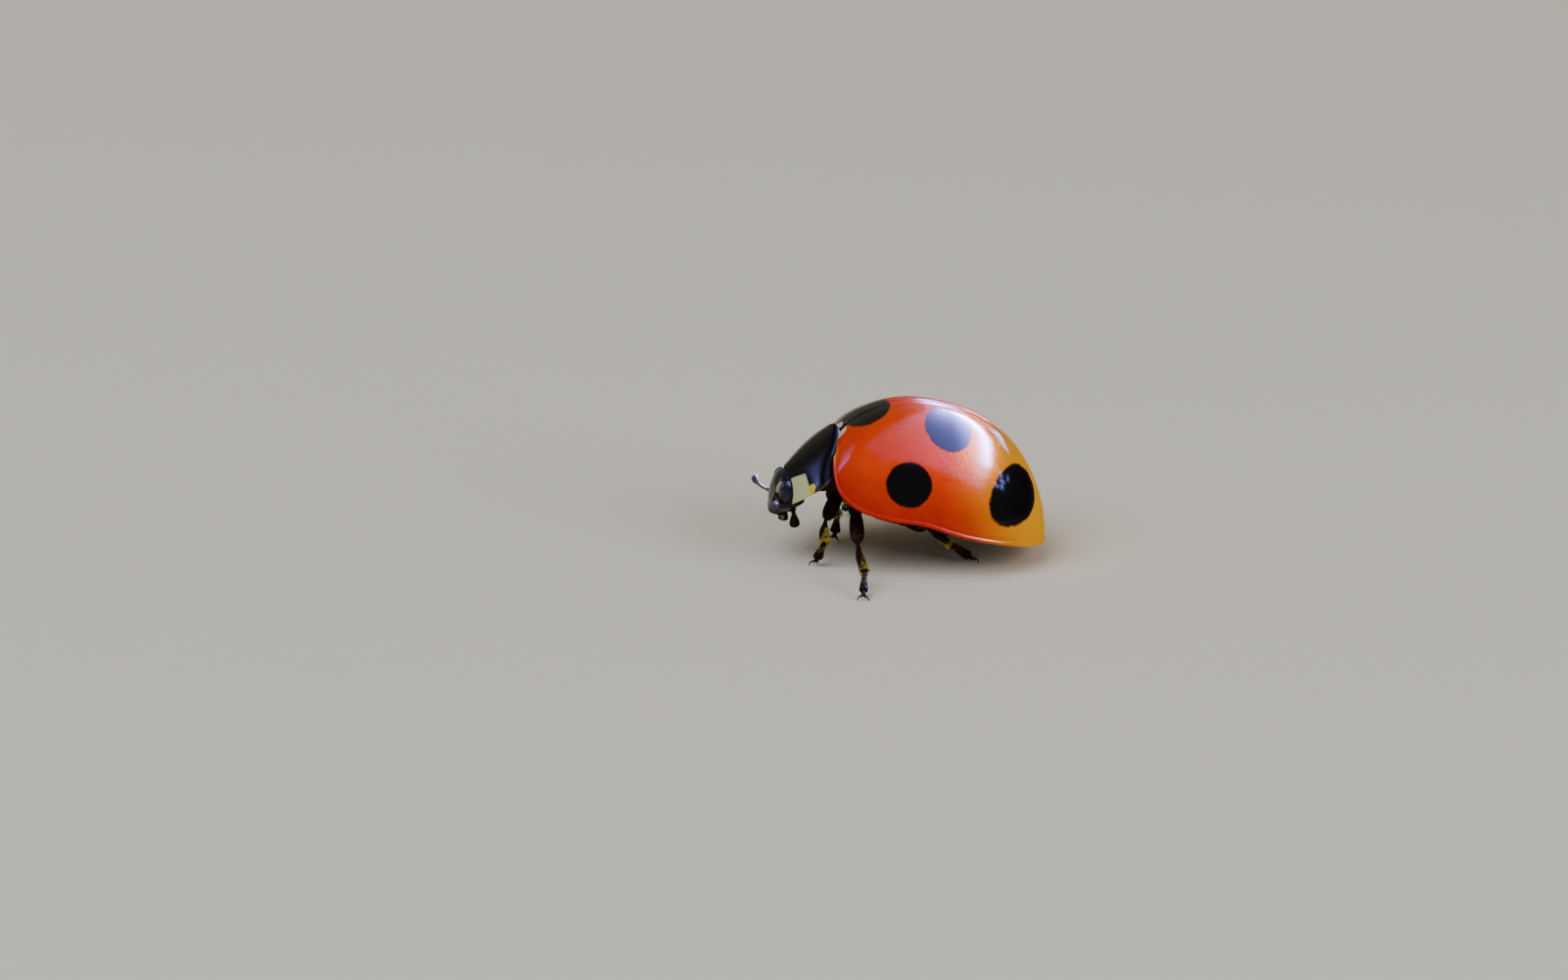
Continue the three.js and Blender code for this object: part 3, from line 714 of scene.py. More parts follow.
# The head's surface over the unit sphere, with its sunk sockets and the ridge above the mouth.
def headSurface(x, y, z):
    h = headShape
    swell = lambda v: np.sign(v) * np.abs(v) ** h["squareness"]
    taper = 1 - h["chinTaper"] * np.maximum(0, -z) ** h["taperPower"]
    rearward = np.clip((y - h["jawFrom"]) / h["jawReach"], 0, 1) ** h["jawPower"]
    jaw = np.where(z < 0, h["jaw"][0] + (h["jaw"][1] - h["jaw"][0]) * rearward, 1)
    depth = np.where(y > 0, h["rearDepth"], h["halfDepth"])
    points = np.stack([swell(x) * h["halfWidth"] * taper, swell(y) * depth,
                       swell(z) * h["halfHeight"] * jaw], -1)
    out = np.stack([x / h["halfWidth"], y / h["halfDepth"], z / h["halfHeight"]], -1)
    out /= np.linalg.norm(out, axis=-1)[..., None]
    aside, ahead, above = np.abs(points[..., 0]), -points[..., 1], points[..., 2]
    toSocket = np.hypot(aside - h["socket"][0], above - h["socket"][1])
    ridgeEnd = 1 - smoothStep(aside, *h["clypeusEnd"])
    fromEye = (aside - eyeShape["at"][0], ahead + eyeShape["at"][1], above - eyeShape["at"][2])
    toEye = np.sqrt(sum((away / reach) ** 2 for away, reach in zip(fromEye, h["eyeReach"])))
    rise = h["clypeusRise"] * bump(above - h["clypeus"], h["clypeusSoft"]) * ridgeEnd
    rise -= h["lipGroove"] * bump(above - h["clypeus"] + h["lipGrooveBelow"], h["clypeusSoft"]) * ridgeEnd
    rise += h["socketRim"] * bump(toSocket - h["socketRimAt"], h["socketRimWidth"])
    rise -= h["socketDepth"] * bump(toSocket, h["socketRadius"])
    rise -= (h["browDip"] * bump(aside - h["browAt"][0], h["browSize"][0])
             * bump(above - h["browAt"][1], h["browSize"][1]))
    rise = rise * smoothStep(ahead, *h["face"]) - h["eyeGroove"] * bump(toEye - 1, h["eyeGrooveWidth"])
    return points + out * rise[..., None]


def headMaterial():
    f = headFinish
    shader = Shader("head", **f["surface"])
    colour = f["black"]
    axes = [placeHead(axis) - placeHead((0, 0, 0)) for axis in np.eye(3)]
    for side in (1, -1):
        reach = shader.reach(placeHead((side * f["spot"][0], *f["spot"][1:])), axes, f["spotSize"])
        reach = reach + (shader.noise(f["wobbleScale"]) - 0.5) * f["wobble"]
        colour = shader.blend(1 - shader.smooth(reach, *f["spotEdge"]), colour, f["pale"])
    shader.pitted(*f["relief"])
    return shader.paint(Base_Color=colour, Roughness=shader.vary(*f["roughness"]))


def eyeMaterial():
    f = eyeFinish
    shader = Shader("eye", **f["surface"])
    tone = shader.blend(shader.smooth(shader.noise(f["tintScale"]), *f["tint"]), *f["colours"])
    facets = shader.smooth(shader.cells(f["facetScale"], f["facetDisorder"]), 0.0, f["facetEdge"])
    shader.relief(facets * f["facetDepth"], f["strength"])
    return shader.paint(Base_Color=tone)


def headPieces():
    ball = ballParts(lambda x, y, z: np.moveaxis(headSurface(x, y, z), -1, 0), headShape["around"],
                     headShape["upward"])
    lumpPiece("head_capsule", [ball], headMaterial(), placeHead, node="head", slot="black_shell")
    glaze = eyeMaterial()
    for name, side in sideSigns.items():
        at = (side * eyeShape["at"][0], *eyeShape["at"][1:])
        ball = ellipsoidParts(at, eyeShape["size"], eyeShape["around"], eyeShape["upward"])
        lumpPiece(f"eye_ball_{name}", [ball], glaze, placeHead, node=f"eye_{name}", slot="eye")


headPieces()
print("head made")


antennaShape = {
    "left": [(0.55, -0.38, -0.06), (1.0, -0.64, -0.07), (1.5, -0.58, 0.08)],
    "right": [(-0.55, -0.38, -0.06), (-0.82, -0.7, -0.16), (-1.2, -0.83, 0.06)],
    # length share and the radii at both ends of each joint, from the scape to the club
    "joints": [(0.17, 0.065, 0.085), (0.09, 0.055, 0.062), (0.11, 0.036, 0.046), (0.09, 0.038, 0.048),
               (0.08, 0.04, 0.05), (0.08, 0.042, 0.053), (0.075, 0.045, 0.058), (0.075, 0.05, 0.066),
               (0.095, 0.07, 0.098), (0.095, 0.092, 0.112), (0.1, 0.108, 0.085)],
    "stations": 7, "neck": 0.62, "sides": 18, "clubFrom": (0.7, 0.8),
}
feelerFinish = {
    "surface": {"Coat Weight": 0.4, "Coat Roughness": 0.2}, "stalk": (0.16, 0.065, 0.022),
    "club": (0.03, 0.014, 0.009), "grainScale": 30.0, "grainDepth": 0.006, "strength": 0.8,
    "roughness": (0.42, 12.0, 0.12),
}
mouth = {
    # middle and half sizes of each part
    "mandible": ((0.27, -0.25, -0.38), (0.11, 0.17, 0.11)),
    "maxilla": ((0.36, -0.02, -0.22), (0.14, 0.16, 0.11)),
    "labrum": ((0, -0.36, -0.41), (0.31, 0.17, 0.11)),
    "labium": ((0, -0.1, -0.36), (0.2, 0.15, 0.1)),
    "labialPalp": [(0.16, -0.14, -0.38), (0.3, -0.2, -0.46), (0.26, -0.13, -0.58)],
    "labialRadii": (0.035, 0.055, 0.045, 0.062, 0.055, 0.045, 0.02),
    "horn": ((0.008, 0.007, 0.007), 0.3, 18.0, 0.003, (0.03, 0.014, 0.008)),
    "paleHorn": ((0.55, 0.33, 0.2), 0.4, 20.0, 0.002, (0.3, 0.14, 0.07)),
}
palp = {
    "left": [(0.46, 0.0, -0.1), (0.62, 0.06, -0.31), (0.62, 0.15, -0.66)],
    "right": [(-0.35, -0.05, -0.25), (-0.42, -0.02, -0.52), (-0.42, -0.03, -0.8)],
    "joints": [(0.3, 0.07, 0.08), (0.45, 0.06, 0.085), (0.25, 0.055, 0.07)], "stations": 6, "neck": 0.6,
    # the last joint, shaped like an axe: shares of its length, half widths and half depths
    "share": (0, 0.1, 0.3, 0.55, 0.8, 0.93, 1.0),
    "widths": (0.045, 0.07, 0.1, 0.13, 0.135, 0.105, 0.05),
    "depths": (0.04, 0.055, 0.07, 0.08, 0.08, 0.06, 0.025),
}


def bezier(bends, share):
    a, b, c = (np.asarray(bend, float) for bend in bends)
    share = np.asarray(share)[:, None]
    return a * (1 - share) ** 2 + 2 * b * share * (1 - share) + c * share ** 2


# Stations and radii of a jointed stalk. Each joint narrows at both its ends.
def jointStations(joints, stations, neck):
    starts = np.cumsum([0] + [joint[0] for joint in joints])
    along, radii = [], []
    for (length, first, last), start in zip(joints, starts):
        s = np.linspace(0, 1, stations)
        along += list(start + length * (0.02 + 0.96 * s))
        waist = neck + (1 - neck) * np.sqrt(1 - np.abs(2 * s - 1) ** 3)
        radii += list((first + (last - first) * s) * waist)
    return np.array(along) / starts[-1], np.array(radii)


def feelerMaterial():
    f = feelerFinish
    shader = Shader("feeler", **f["surface"])
    colour = shader.blend(shader.attribute("club"), f["stalk"], f["club"])
    shader.relief(shader.noise(f["grainScale"]) * f["grainDepth"], f["strength"])
    return shader.paint(Base_Color=colour, Roughness=shader.vary(*f["roughness"]))


def antennaPieces():
    skin, around = feelerMaterial(), antennaShape["sides"]
    along, radii = jointStations(antennaShape["joints"], antennaShape["stations"], antennaShape["neck"])
    club = np.repeat(smoothStep(along, *antennaShape["clubFrom"]), around)
    for name in sideSigns:
        stalk = barParts(bezier(antennaShape[name], along), radii, sides=around)
        piece = lumpPiece(f"antenna_stalk_{name}", [stalk], skin, placeHead, node=f"antenna_{name}",
                          slot="feeler")
        giveValues(piece, "club", club)


def palpParts(ends):
    root, heel, tip = (np.array(end, float) for end in ends)
    along, radii = jointStations(palp["joints"], palp["stations"], palp["neck"])
    yield barParts(root + (heel - root) * along[:, None], radii, sides=14)
    last = heel + (tip - heel) * np.array(palp["share"])[:, None]
    yield barParts(last, palp["widths"], palp["depths"], up=(1, 0, 0), sides=20)


def jawParts():
    for key in ("mandible", "maxilla"):
        at, size = mouth[key]
        for side in sideSigns.values():
            yield ellipsoidParts((side * at[0], *at[1:]), size)
    yield ellipsoidParts(*mouth["labrum"], 40, 20)
    yield ellipsoidParts(*mouth["labium"], 24, 14)


def mouthPieces():
    dark = chitinMaterial("mouthparts", *mouth["horn"])
    lumpPiece("jaws", jawParts(), dark, placeHead, node="labrum", slot="mouthparts")
    for name in sideSigns:
        lumpPiece(f"palp_axe_{name}", palpParts(palp[name]), dark, placeHead, node=f"palp_{name}",
                  slot="mouthparts")
    pale, radii = chitinMaterial("labial_palps", *mouth["paleHorn"]), mouth["labialRadii"]
    share = np.linspace(0, 1, len(radii))
    lines = [bezier(np.array(mouth["labialPalp"]) * (side, 1, 1), share) for side in sideSigns.values()]
    lumpPiece("labial_palps", [barParts(line, radii, sides=12) for line in lines], pale, placeHead,
              slot="mouthparts")


antennaPieces()
mouthPieces()
print("feelers and mouthparts made")


# Each leg bends at these points above the floor: hip, knee, ankle and foot.
legs = {
    "front_left": [(0.45, -2.11, 1.94), (0.95, -2.56, 1.22), (1.3, -2.63, 0.71), (1.0, -2.81, 0)],
    "middle_left": [(0.75, -1.77, 1.4), (2.2, -1.89, 0.97), (3.4, -1.86, 0.53), (4.15, -1.98, 0)],
    "hind_left": [(0.55, -0.5, 1.08), (1.4, -0.03, 1.1), (1.4, 0.6, 0.65), (1.05, 1.26, 0)],
    "front_right": [(-0.45, -2.11, 1.94), (-1.0, -2.18, 1.22), (-1.45, -1.95, 0.66), (-1.25, -2.05, 0)],
    "middle_right": [(-0.75, -1.77, 1.4), (-2.2, -1.75, 0.97), (-3.2, -1.5, 0.58), (-3.7, -1.45, 0)],
    "hind_right": [(-0.55, -0.5, 1.05), (-1.6, -0.1, 1.05), (-1.8, 0.75, 0.58), (-1.8, 1.4, 0)],
}
limb = {
    "femur": 0.182, "femurThin": 0.98, "femurEnd": 0.62, "femurSwell": (0.86, 0.02, 1.1), "femurLeast": 0.012,
    "femurRun": (1.04, 0.02), "hipBall": 0.15, "hipBallAt": 0.05,
    "tibia": 0.126, "tibiaThin": 0.85, "tibiaRoot": 0.38, "tibiaSwell": (0.05, 0.6),
    "tibiaCut": (0.965, 1.0), "tibiaCutShare": 0.6, "tibiaRun": (1.02, 0.02), "bow": 0.03,
    # shares of the line from ankle to toe: where the heel joint ends, the pads end, and the claw joint lies
    "rise": 0.13, "heelShare": 0.2, "padShare": 0.84, "jointShare": (0.6, 1.02),
    "heel": 0.065, "heelDepth": 0.85, "heelOverlap": 0.03, "heelEnds": (0.5, 0.5),
    "padRoot": 0.62, "padSpread": 0.22, "padFork": (0.1, 1.0), "padWidth": 0.74, "padDepth": 0.8,
    "padEnds": (0.45, 0.55), "clawJoint": 0.048, "clawJointSwell": (0.85, 0.5),
}
# Each claw bends beyond the toe and comes down to its tip. A tooth stands at its inner side.
claw = {
    "thick": 0.027, "splay": 0.155, "level": 0.25, "root": 0.03,
    "bend": 0.12, "bendSplay": 0.75, "bendRise": 0.02, "tip": 0.1, "tipHeight": 0.3,
    "taper": (1.2, 0.22), "taperPower": 0.8, "up": (0.01, 0.02, 1),
    "tooth": 0.05, "toothSplay": 0.05, "toothTip": 0.03, "toothDrop": 0.07, "toothTaper": (1.0, 0.25),
}
padSize = {"front": 0.155, "middle": 0.132, "hind": 0.17}
limbHorn = {
    "leg": ((0.010, 0.007, 0.006), 0.28, 16.0, 0.004, (0.035, 0.012, 0.010)),
    "claw": ((0.045, 0.016, 0.008), 0.3, 20.0, 0.001, (0.035, 0.012, 0.010)),
}


def lineBetween(a, b, share, bow=None):
    share = np.asarray(share)[:, None]
    line = a + (b - a) * share
    return line if bow is None else line + bow * np.sin(math.pi * share)


def legLines(spots):
    hip, knee, ankle, foot = (placeGround(spot) for spot in spots)
    plane = unit(np.cross(knee - hip, ankle - knee))
    return hip, knee, ankle, foot, foot + np.array([0, 0, limb["rise"]]), plane


def legParts(spots, pad):
    w = limb
    hip, knee, ankle, foot, toe, plane = legLines(spots)
    s = np.linspace(0, 1, 19)
    # the thigh is a spindle, thickest past its middle
    stretch, offset, power = w["femurSwell"]
    swell = np.sin(math.pi * np.clip(s * stretch + offset, 0, 1) ** power)
    rounding = (1 - np.abs(2 * s - 1) ** 5) ** 0.5
    thigh = w["femur"] * (w["femurEnd"] + (1 - w["femurEnd"]) * swell) * rounding + w["femurLeast"]
    stretch, offset = w["femurRun"]
    reach = lineBetween(hip, knee, s * stretch - offset)
    yield barParts(reach, thigh * w["femurThin"], thigh, up=np.cross(plane, knee - hip), sides=22)
    yield ellipsoidParts(hip + (knee - hip) * w["hipBallAt"], [w["hipBall"]] * 3, 18, 12)
    # the shin is thin at the knee and broadest near its end, where it is cut off square
    width = w["tibia"] * (w["tibiaRoot"] + (1 - w["tibiaRoot"]) * smoothStep(s, *w["tibiaSwell"]))
    width = width * (1 - smoothStep(s, *w["tibiaCut"]) * w["tibiaCutShare"])
    stretch, offset = w["tibiaRun"]
    bow = unit(np.cross(ankle - knee, plane)) * w["bow"]
    reach = lineBetween(knee, ankle, s * stretch - offset, bow)
    yield barParts(reach, width * w["tibiaThin"], width, up=np.cross(plane, ankle - knee), sides=18)
    # the foot: a short joint, a second that widens into two pads, and the thin joint that bears the claws
    ahead = toe - ankle
    up = unit(np.cross(np.cross(ahead, (0, 0, 1)), ahead))
    aside = unit(np.cross(ahead, up))
    steps = np.linspace(0, 1, 15)
    ends = np.sqrt(1 - np.abs(2 * steps - 1) ** 6)
    heel, start = w["heel"], w["heelShare"]
    least, swell = w["heelEnds"]
    first = (heel + (pad * w["padRoot"] - heel) * steps) * (least + swell * ends)
    path = lineBetween(ankle, toe, steps * (start + w["heelOverlap"]))
    yield barParts(path, first, first * w["heelDepth"], up=up, sides=14)
    least, swell = w["padEnds"]
    second = pad * (w["padRoot"] + (1 - w["padRoot"]) * steps) * (least + swell * ends)
    for side in (1, -1):
        across = aside * side * pad * w["padSpread"] * smoothStep(steps, *w["padFork"])[:, None]
        path = lineBetween(ankle, toe, start + steps * (w["padShare"] - start)) + across
        yield barParts(path, second * w["padWidth"], second * w["padDepth"], up=up, sides=16)
    least, swell = w["clawJointSwell"]
    last = w["clawJoint"] * (least + swell * steps) * (0.5 + 0.5 * ends)
    low, high = w["jointShare"]
    yield barParts(lineBetween(ankle, toe, low + steps * (high - low)), last, up=up, sides=12)


def clawParts(spots):
    c = claw
    hip, knee, ankle, foot, toe, plane = legLines(spots)
    ahead = unit((toe - ankle) * np.array([1, 1, c["level"]]))
    across = unit(np.cross(ahead, (0, 0, 1)))
    for side in (1, -1):
        tip = foot + ahead * c["tip"] + across * side * c["splay"]
        tip[2] = c["thick"] * c["tipHeight"]
        bend = toe + ahead * c["bend"] + across * side * c["splay"] * c["bendSplay"]
        bend[2] = toe[2] + c["bendRise"]
        hook = bezier([toe - ahead * c["root"], bend, tip], np.linspace(0, 1, 12))
        radii = c["thick"] * np.linspace(*c["taper"], 12) ** c["taperPower"]
        yield barParts(hook, radii, up=c["up"], sides=10)
        aside = across * side * c["toothSplay"]
        end = toe + ahead * c["toothTip"] + aside - np.array([0, 0, c["toothDrop"]])
        tooth = bezier([toe, toe + ahead * c["tooth"] + aside, end], np.linspace(0, 1, 8))
        yield barParts(tooth, c["thick"] * np.linspace(*c["toothTaper"], 8), up=c["up"], sides=8)


def legPieces():
    skin, horn = (chitinMaterial(name, *values) for name, values in limbHorn.items())
    for name, spots in legs.items():
        nodes = [f"{name}_{bone}" for bone in ("femur", "tibia", "tarsus")]
        lumpPiece(f"leg_{name}", legParts(spots, padSize[name.split("_")[0]]), skin, node=nodes, slot="leg")
        lumpPiece(f"claws_{name}", clawParts(spots), horn, slot="leg")


legPieces()
print("legs made")


# The underside, from neck to tail, with the hip joints.
trunk = {
    "inset": 0.46, "topInset": 0.55, "gap": 0.05, "depth": 0.36, "front": -2.2, "waist": -0.35,
    "borders": (0.35, 0.9, 1.4, 1.85, 2.25, 2.55), "last": 3.2, "curve": 0.05, "step": 0.035, "least": 0.01,
    "rows": 170, "columns": 90,
    # grooves at the waist, along the middle and between the hips, and the swelling behind the hips
    "waistGroove": 0.05, "waistWidth": 0.05, "midGroove": 0.04, "midWidth": 0.04,
    "midSpan": ((0.4, 0.6), (1.6, 1.8)), "crossGroove": 0.05, "crossAt": -1.45, "crossWidth": 0.06,
    "crossFrom": (0.3, 0.5), "swell": 0.03, "swellAt": (0.55, -0.95), "swellSize": (0.3, 0.35),
    "neckAt": (0, -0.85, -0.7), "neckSize": (1.22, 0.74, 0.5),
    "hips": (0.3, 0.2, 0.2), "hipRise": 0.03, "frontHips": (0.24, 0.22, 0.24), "frontHipRise": 0.02,
    "horn": ((0.010, 0.008, 0.008), 0.4, 12.0, 0.008, (0.05, 0.022, 0.012)),
}


def trunkRise(x, y):
    w = trunk
    lifted = y - w["curve"] * x ** 2
    rise = np.zeros_like(y)
    for start, end in zip((w["waist"],) + w["borders"], w["borders"] + (w["last"],)):
        share = (lifted - start) / (end - start)
        inside = (share >= 0) & (share < 1)
        rise += np.where(inside, w["step"] * (np.clip(share, 0, 1) ** 2 - 0.5), 0)
    near, far = w["midSpan"]
    rise -= w["waistGroove"] * bump(y - w["waist"], w["waistWidth"])
    rise -= w["midGroove"] * bump(x, w["midWidth"]) * smoothStep(-y, *near) * (1 - smoothStep(-y, *far))
    rise -= (w["crossGroove"] * bump(y - w["crossAt"], w["crossWidth"])
             * smoothStep(np.abs(x), *w["crossFrom"]))
    rise += (w["swell"] * bump(np.abs(x) - w["swellAt"][0], w["swellSize"][0])
             * bump(y - w["swellAt"][1], w["swellSize"][1]))
    return rise


def trunkSheets():
    w = trunk
    turn = np.linspace(0, math.pi, 2001)
    edge = caseRadius(turn) - w["inset"]
    rimX, rimY = edge * np.sin(turn), edge * np.cos(turn)
    share = (1 - np.cos(np.linspace(0, math.pi, w["rows"]))) / 2
    y = rimY[0] + (w["front"] - rimY[0]) * share
    half = np.interp(-y, -rimY, rimX)
    t = np.sin(np.linspace(-1, 1, w["columns"]) * math.pi / 2)
    yGrid, tGrid = np.meshgrid(y, t, indexing="ij")
    x = half[:, None] * tGrid
    angle, radius = np.arctan2(np.abs(x), yGrid), np.hypot(x, yGrid)
    spread = np.clip(radius / (caseRadius(angle) - w["inset"]), 0, 1)
    level = np.arcsin(spread) * 2 / math.pi
    low = rimHeight(yGrid) * level - w["depth"] * (1 - spread ** 3) - w["gap"]
    low -= trunkRise(x, yGrid) * (1 - spread ** 6)
    reach = caseRadius(angle) * spread
    rim = rimHeight(reach * np.cos(angle))
    high = rim + (domeHeight(angle, reach) - rim) * (1 - w["topInset"] / dome["height"]) - w["gap"]
    high = np.maximum(high, low + w["least"])
    return np.stack([x, yGrid, high], -1), np.stack([x, yGrid, low], -1)


def trunkPieces():
    w = trunk
    skin = chitinMaterial("underside", *w["horn"])
    points = np.concatenate([sheet.reshape(-1, 3) for sheet in trunkSheets()])
    body = [(placeBody(points), [face[::-1] for face in sheetFaces(w["rows"], w["columns"])])]
    points, faces = ellipsoidParts(w["neckAt"], w["neckSize"], 48, 32)
    neck = [(placeShield(points), faces)]
    for name, spots in legs.items():
        inFront = name.startswith("front")
        size, rise = (w["frontHips"], w["frontHipRise"]) if inFront else (w["hips"], w["hipRise"])
        at = placeGround(spots[0]) + np.array([0, 0, rise])
        (neck if inFront else body).append(ellipsoidParts(at, size))
    lumpPiece("trunk_skin", body, skin, node=["thorax", "abdomen"], slot="underside")
    lumpPiece("neck_skin", neck, skin, node="prothorax", slot="underside")


trunkPieces()
print("trunk made")


hair = {
    "patch": 0.003, "radius": 0.007, "bend": 0.55, "bendThick": 0.75, "jitter": 0.12, "droop": 0.12,
    "lengths": (0.6, 1.0), "rootShare": 0.6, "floorGap": 0.02, "cut": 0.3,
    "horn": ((0.70, 0.53, 0.07), 0.5, 5.0, 0.0, (0.42, 0.32, 0.06)),
    # thigh, shin, the brush at the shin's end, and foot: the joint it starts at, the skin's radii, how many
    # hairs, the shares of its length between which they grow, the hairs' length and how far they stand off
    "runs": [
        (0, [0.11, 0.16, 0.17, 0.13], 90, 0.15, 0.95, 0.04, 0.2),
        (1, [0.045, 0.08, 0.115, 0.115], 420, 0.35, 1.0, 0.1, 0.32),
        (1, [0.09, 0.11], 130, 0.84, 1.0, 0.12, 0.8),
        (2, [0.06, 0.09, 0.09, 0.05], 160, 0.1, 0.8, 0.05, 0.3),
    ],
}


# Hairs as thin spikes with one bend, each a small patch of its skin's map. Each tuft holds roots, ways,
# lengths, droops and places on the map.
def hairPiece(name, tufts, material, slot):
    roots, ways, lengths, droops, places = (np.concatenate(kept) for kept in zip(*tufts))
    count = len(roots)
    ways = ways / np.linalg.norm(ways, axis=1)[:, None]
    side = np.cross(ways, np.array([0.31, 0.52, 0.8]))
    side /= np.linalg.norm(side, axis=1)[:, None]
    over = np.cross(side, ways)
    points = np.zeros((count, 7, 3))
    flat = np.zeros((count, 7, 2))
    for level, (along, thick) in enumerate(((0.0, 1.0), (hair["bend"], hair["bendThick"]))):
        middle = roots + ways * (lengths * along)[:, None] + droops * along ** 2
        for k in range(3):
            turn = k * 2 * math.pi / 3
            ring = (side * math.cos(turn) + over * math.sin(turn)) * hair["radius"] * thick
            points[:, level * 3 + k] = middle + ring
            flat[:, level * 3 + k] = (0.5 * k, along)
    points[:, 6] = roots + ways * lengths[:, None] + droops
    flat[:, 6] = (0.5, 1.0)
    own = [(0, 2, 1), (0, 1, 4, 3), (1, 2, 5, 4), (2, 0, 3, 5), (3, 4, 6), (4, 5, 6), (5, 3, 6)]
    faces = [[i * 7 + corner for corner in face] for i in range(count) for face in own]
    piece = newPiece(name, points.reshape(-1, 3), faces, material, slot=slot)
    layout = (places[:, None] + flat * hair["patch"]).reshape(-1, 2)
    corners = np.array([corner for face in faces for corner in face])
    piece.data.uv_layers.new(name="OFBake").data.foreach_set("uv", layout[corners].ravel())


# Random places round a bar: points on its skin, their outward directions, shares of its length and turns.
def roundBar(a, b, radii, count, low, high):
    share = random.uniform(low, high, count)
    turn = random.uniform(0, 2 * math.pi, count)
    ahead = unit(b - a)
    across = unit(np.cross(ahead, (0, 0, 1)))
    above = np.cross(across, ahead)
    out = across * np.cos(turn)[:, None] + above * np.sin(turn)[:, None]
    radius = np.interp(share, np.linspace(0, 1, len(radii)), radii)
    return a + (b - a) * share[:, None] + out * radius[:, None], out, share, turn / (2 * math.pi)


def legHair():
    pale = chitinMaterial("leg_hair", *hair["horn"])
    runs = hair["runs"]
    for name, spots in legs.items():
        hip, knee, ankle, foot, toe, plane = legLines(spots)
        joints = (hip, knee, ankle, toe)
        tufts = []
        for part, (first, radii, count, low, high, length, lean) in enumerate(runs):
            a, b = joints[first], joints[first + 1]
            roots, out, share, turn = roundBar(a, b, radii, count, low, high)
            ways = out * lean + unit(b - a) + random.normal(0, hair["jitter"], (count, 3))
            taper = hair["rootShare"] + (1 - hair["rootShare"]) * share
            lengths = length * random.uniform(*hair["lengths"], count) * taper
            # hairs that would reach the floor are cut short
            tips = roots + ways / np.linalg.norm(ways, axis=1)[:, None] * lengths[:, None]
            lengths = np.where(tips[:, 2] < hair["floorGap"], lengths * hair["cut"], lengths)
            places = np.stack([(part + share) / len(runs), turn], -1) * 0.99
            tufts.append((roots, ways, lengths, -out * (lengths * hair["droop"])[:, None], places))
        hairPiece(f"leg_hair_{name}", tufts, pale, "leg")


legHair()
print("hair made")


stage = {
    "floor": (0.93, 0.91, 0.84), "floorRoughness": 0.9, "floorShade": 0.98,
    "floorNoise": (0.02, 3.0), "radius": 3000.0,
    "world": (1.0, 0.90, 0.66), "worldStrength": 0.22,
    "lampColour": (0.97, 0.98, 1.0), "lampAim": (0, 0, 1.5),
    # place, size and power of each lamp
    "lamps": {"key": ((220, -260, 420), 420, 1.55), "fill": ((300, 320, 200), 300, 0.9)},
}
view = {
    "azimuth": 82.1, "elevation": 16.0, "roll": 1.0, "lens": 200.0, "sensor": 36.0,
    "pixelsPerMillimetre": 39.4, "frameWidth": 1600, "frameHeight": 1000,
    "bodyAt": (938.3, 514.9),  # where the body's origin falls in the frame
    "clip": (0.01, 20.0),
}


def addFloor():
    half, tone = stage["radius"], stage["floor"]
    shader = Shader("floor", **{"Roughness": stage["floorRoughness"], "Specular IOR Level": 0.0})
    darker = tuple(c * stage["floorShade"] for c in tone)
    shade = shader.blend(shader.noise(*stage["floorNoise"]), tone, darker)
    corners = [(-half, -half, 0), (half, -half, 0), (half, half, 0), (-half, half, 0)]
    newMesh("floor", corners, [(0, 1, 2, 3)], shader.paint(Base_Color=shade))


def addLight(name, at, size, power):
    data = bpy.data.lights.new(name, "AREA")
    data.shape = "RECTANGLE"
    data.size, data.size_y = size * metres, size * metres
    data.energy = power
    data.color = stage["lampColour"]
    lamp = linkObject(name, data)
    lamp.location = Vector(at) * metres
    lamp.rotation_euler = (Vector(stage["lampAim"]) - Vector(at)).to_track_quat("-Z", "Y").to_euler()
    lamp.visible_camera = False
    lamp.visible_glossy = False


# A lit sheet hangs level over the body and is seen only in reflections, as a window would be.
# Its bright areas are outlined in millimetres across the sheet.
skylight = {
    "height": 300, "span": (-1700, 700, -1000, 1150), "step": 14, "tint": (0.75, 0.8, 2.4),
    "pane": [(-12, -147), (125, -100), (160, 0), (170, 60), (205, 140), (285, 320), (345, 480), (320, 560),
             (76, 450), (-140, 410), (-308, 325), (-571, 271), (-1000, 330), (-1500, 400), (-1500, 290),
             (-880, 200), (-420, 135), (-270, 85), (-130, -40)],
    "paneSoft": 34, "paneNear": 2.0, "paneFar": 7.5, "paneFrom": (0, -60), "paneTo": (0, 200),
    # lines across the sheet, with a half width and a brightness
    "bars": [
        ([(-470, 252), (-407, 283), (-245, 335), (-100, 345), (-20, 372)], 45, 300.0),
        ([(-340, 232), (-200, 252), (-60, 282), (35, 338), (110, 380)], 68, 26.0),
        ([(-1500, 300), (-1050, 255), (-880, 225)], 50, 60.0),
        ([(-1450, 820), (-870, 690), (-640, 700)], 30, 60.0),
        ([(-1000, 560), (-760, 560), (-560, 585)], 24, 36.0),
        ([(-60, 560), (-35, 610)], 22, 24.0),
        ([(15, 655), (-5, 740)], 20, 20.0),
        ([(60, 740), (90, 800)], 22, 22.0),
        ([(135, 610), (120, 690)], 20, 16.0),
        ([(-150, 760), (-110, 800)], 22, 14.0),
        ([(-190, -430), (-300, -640), (-420, -960), (-560, -1500)], 40, 10.0),
        ([(-270, -390), (-350, -500)], 90, 2.6),
    ],
}


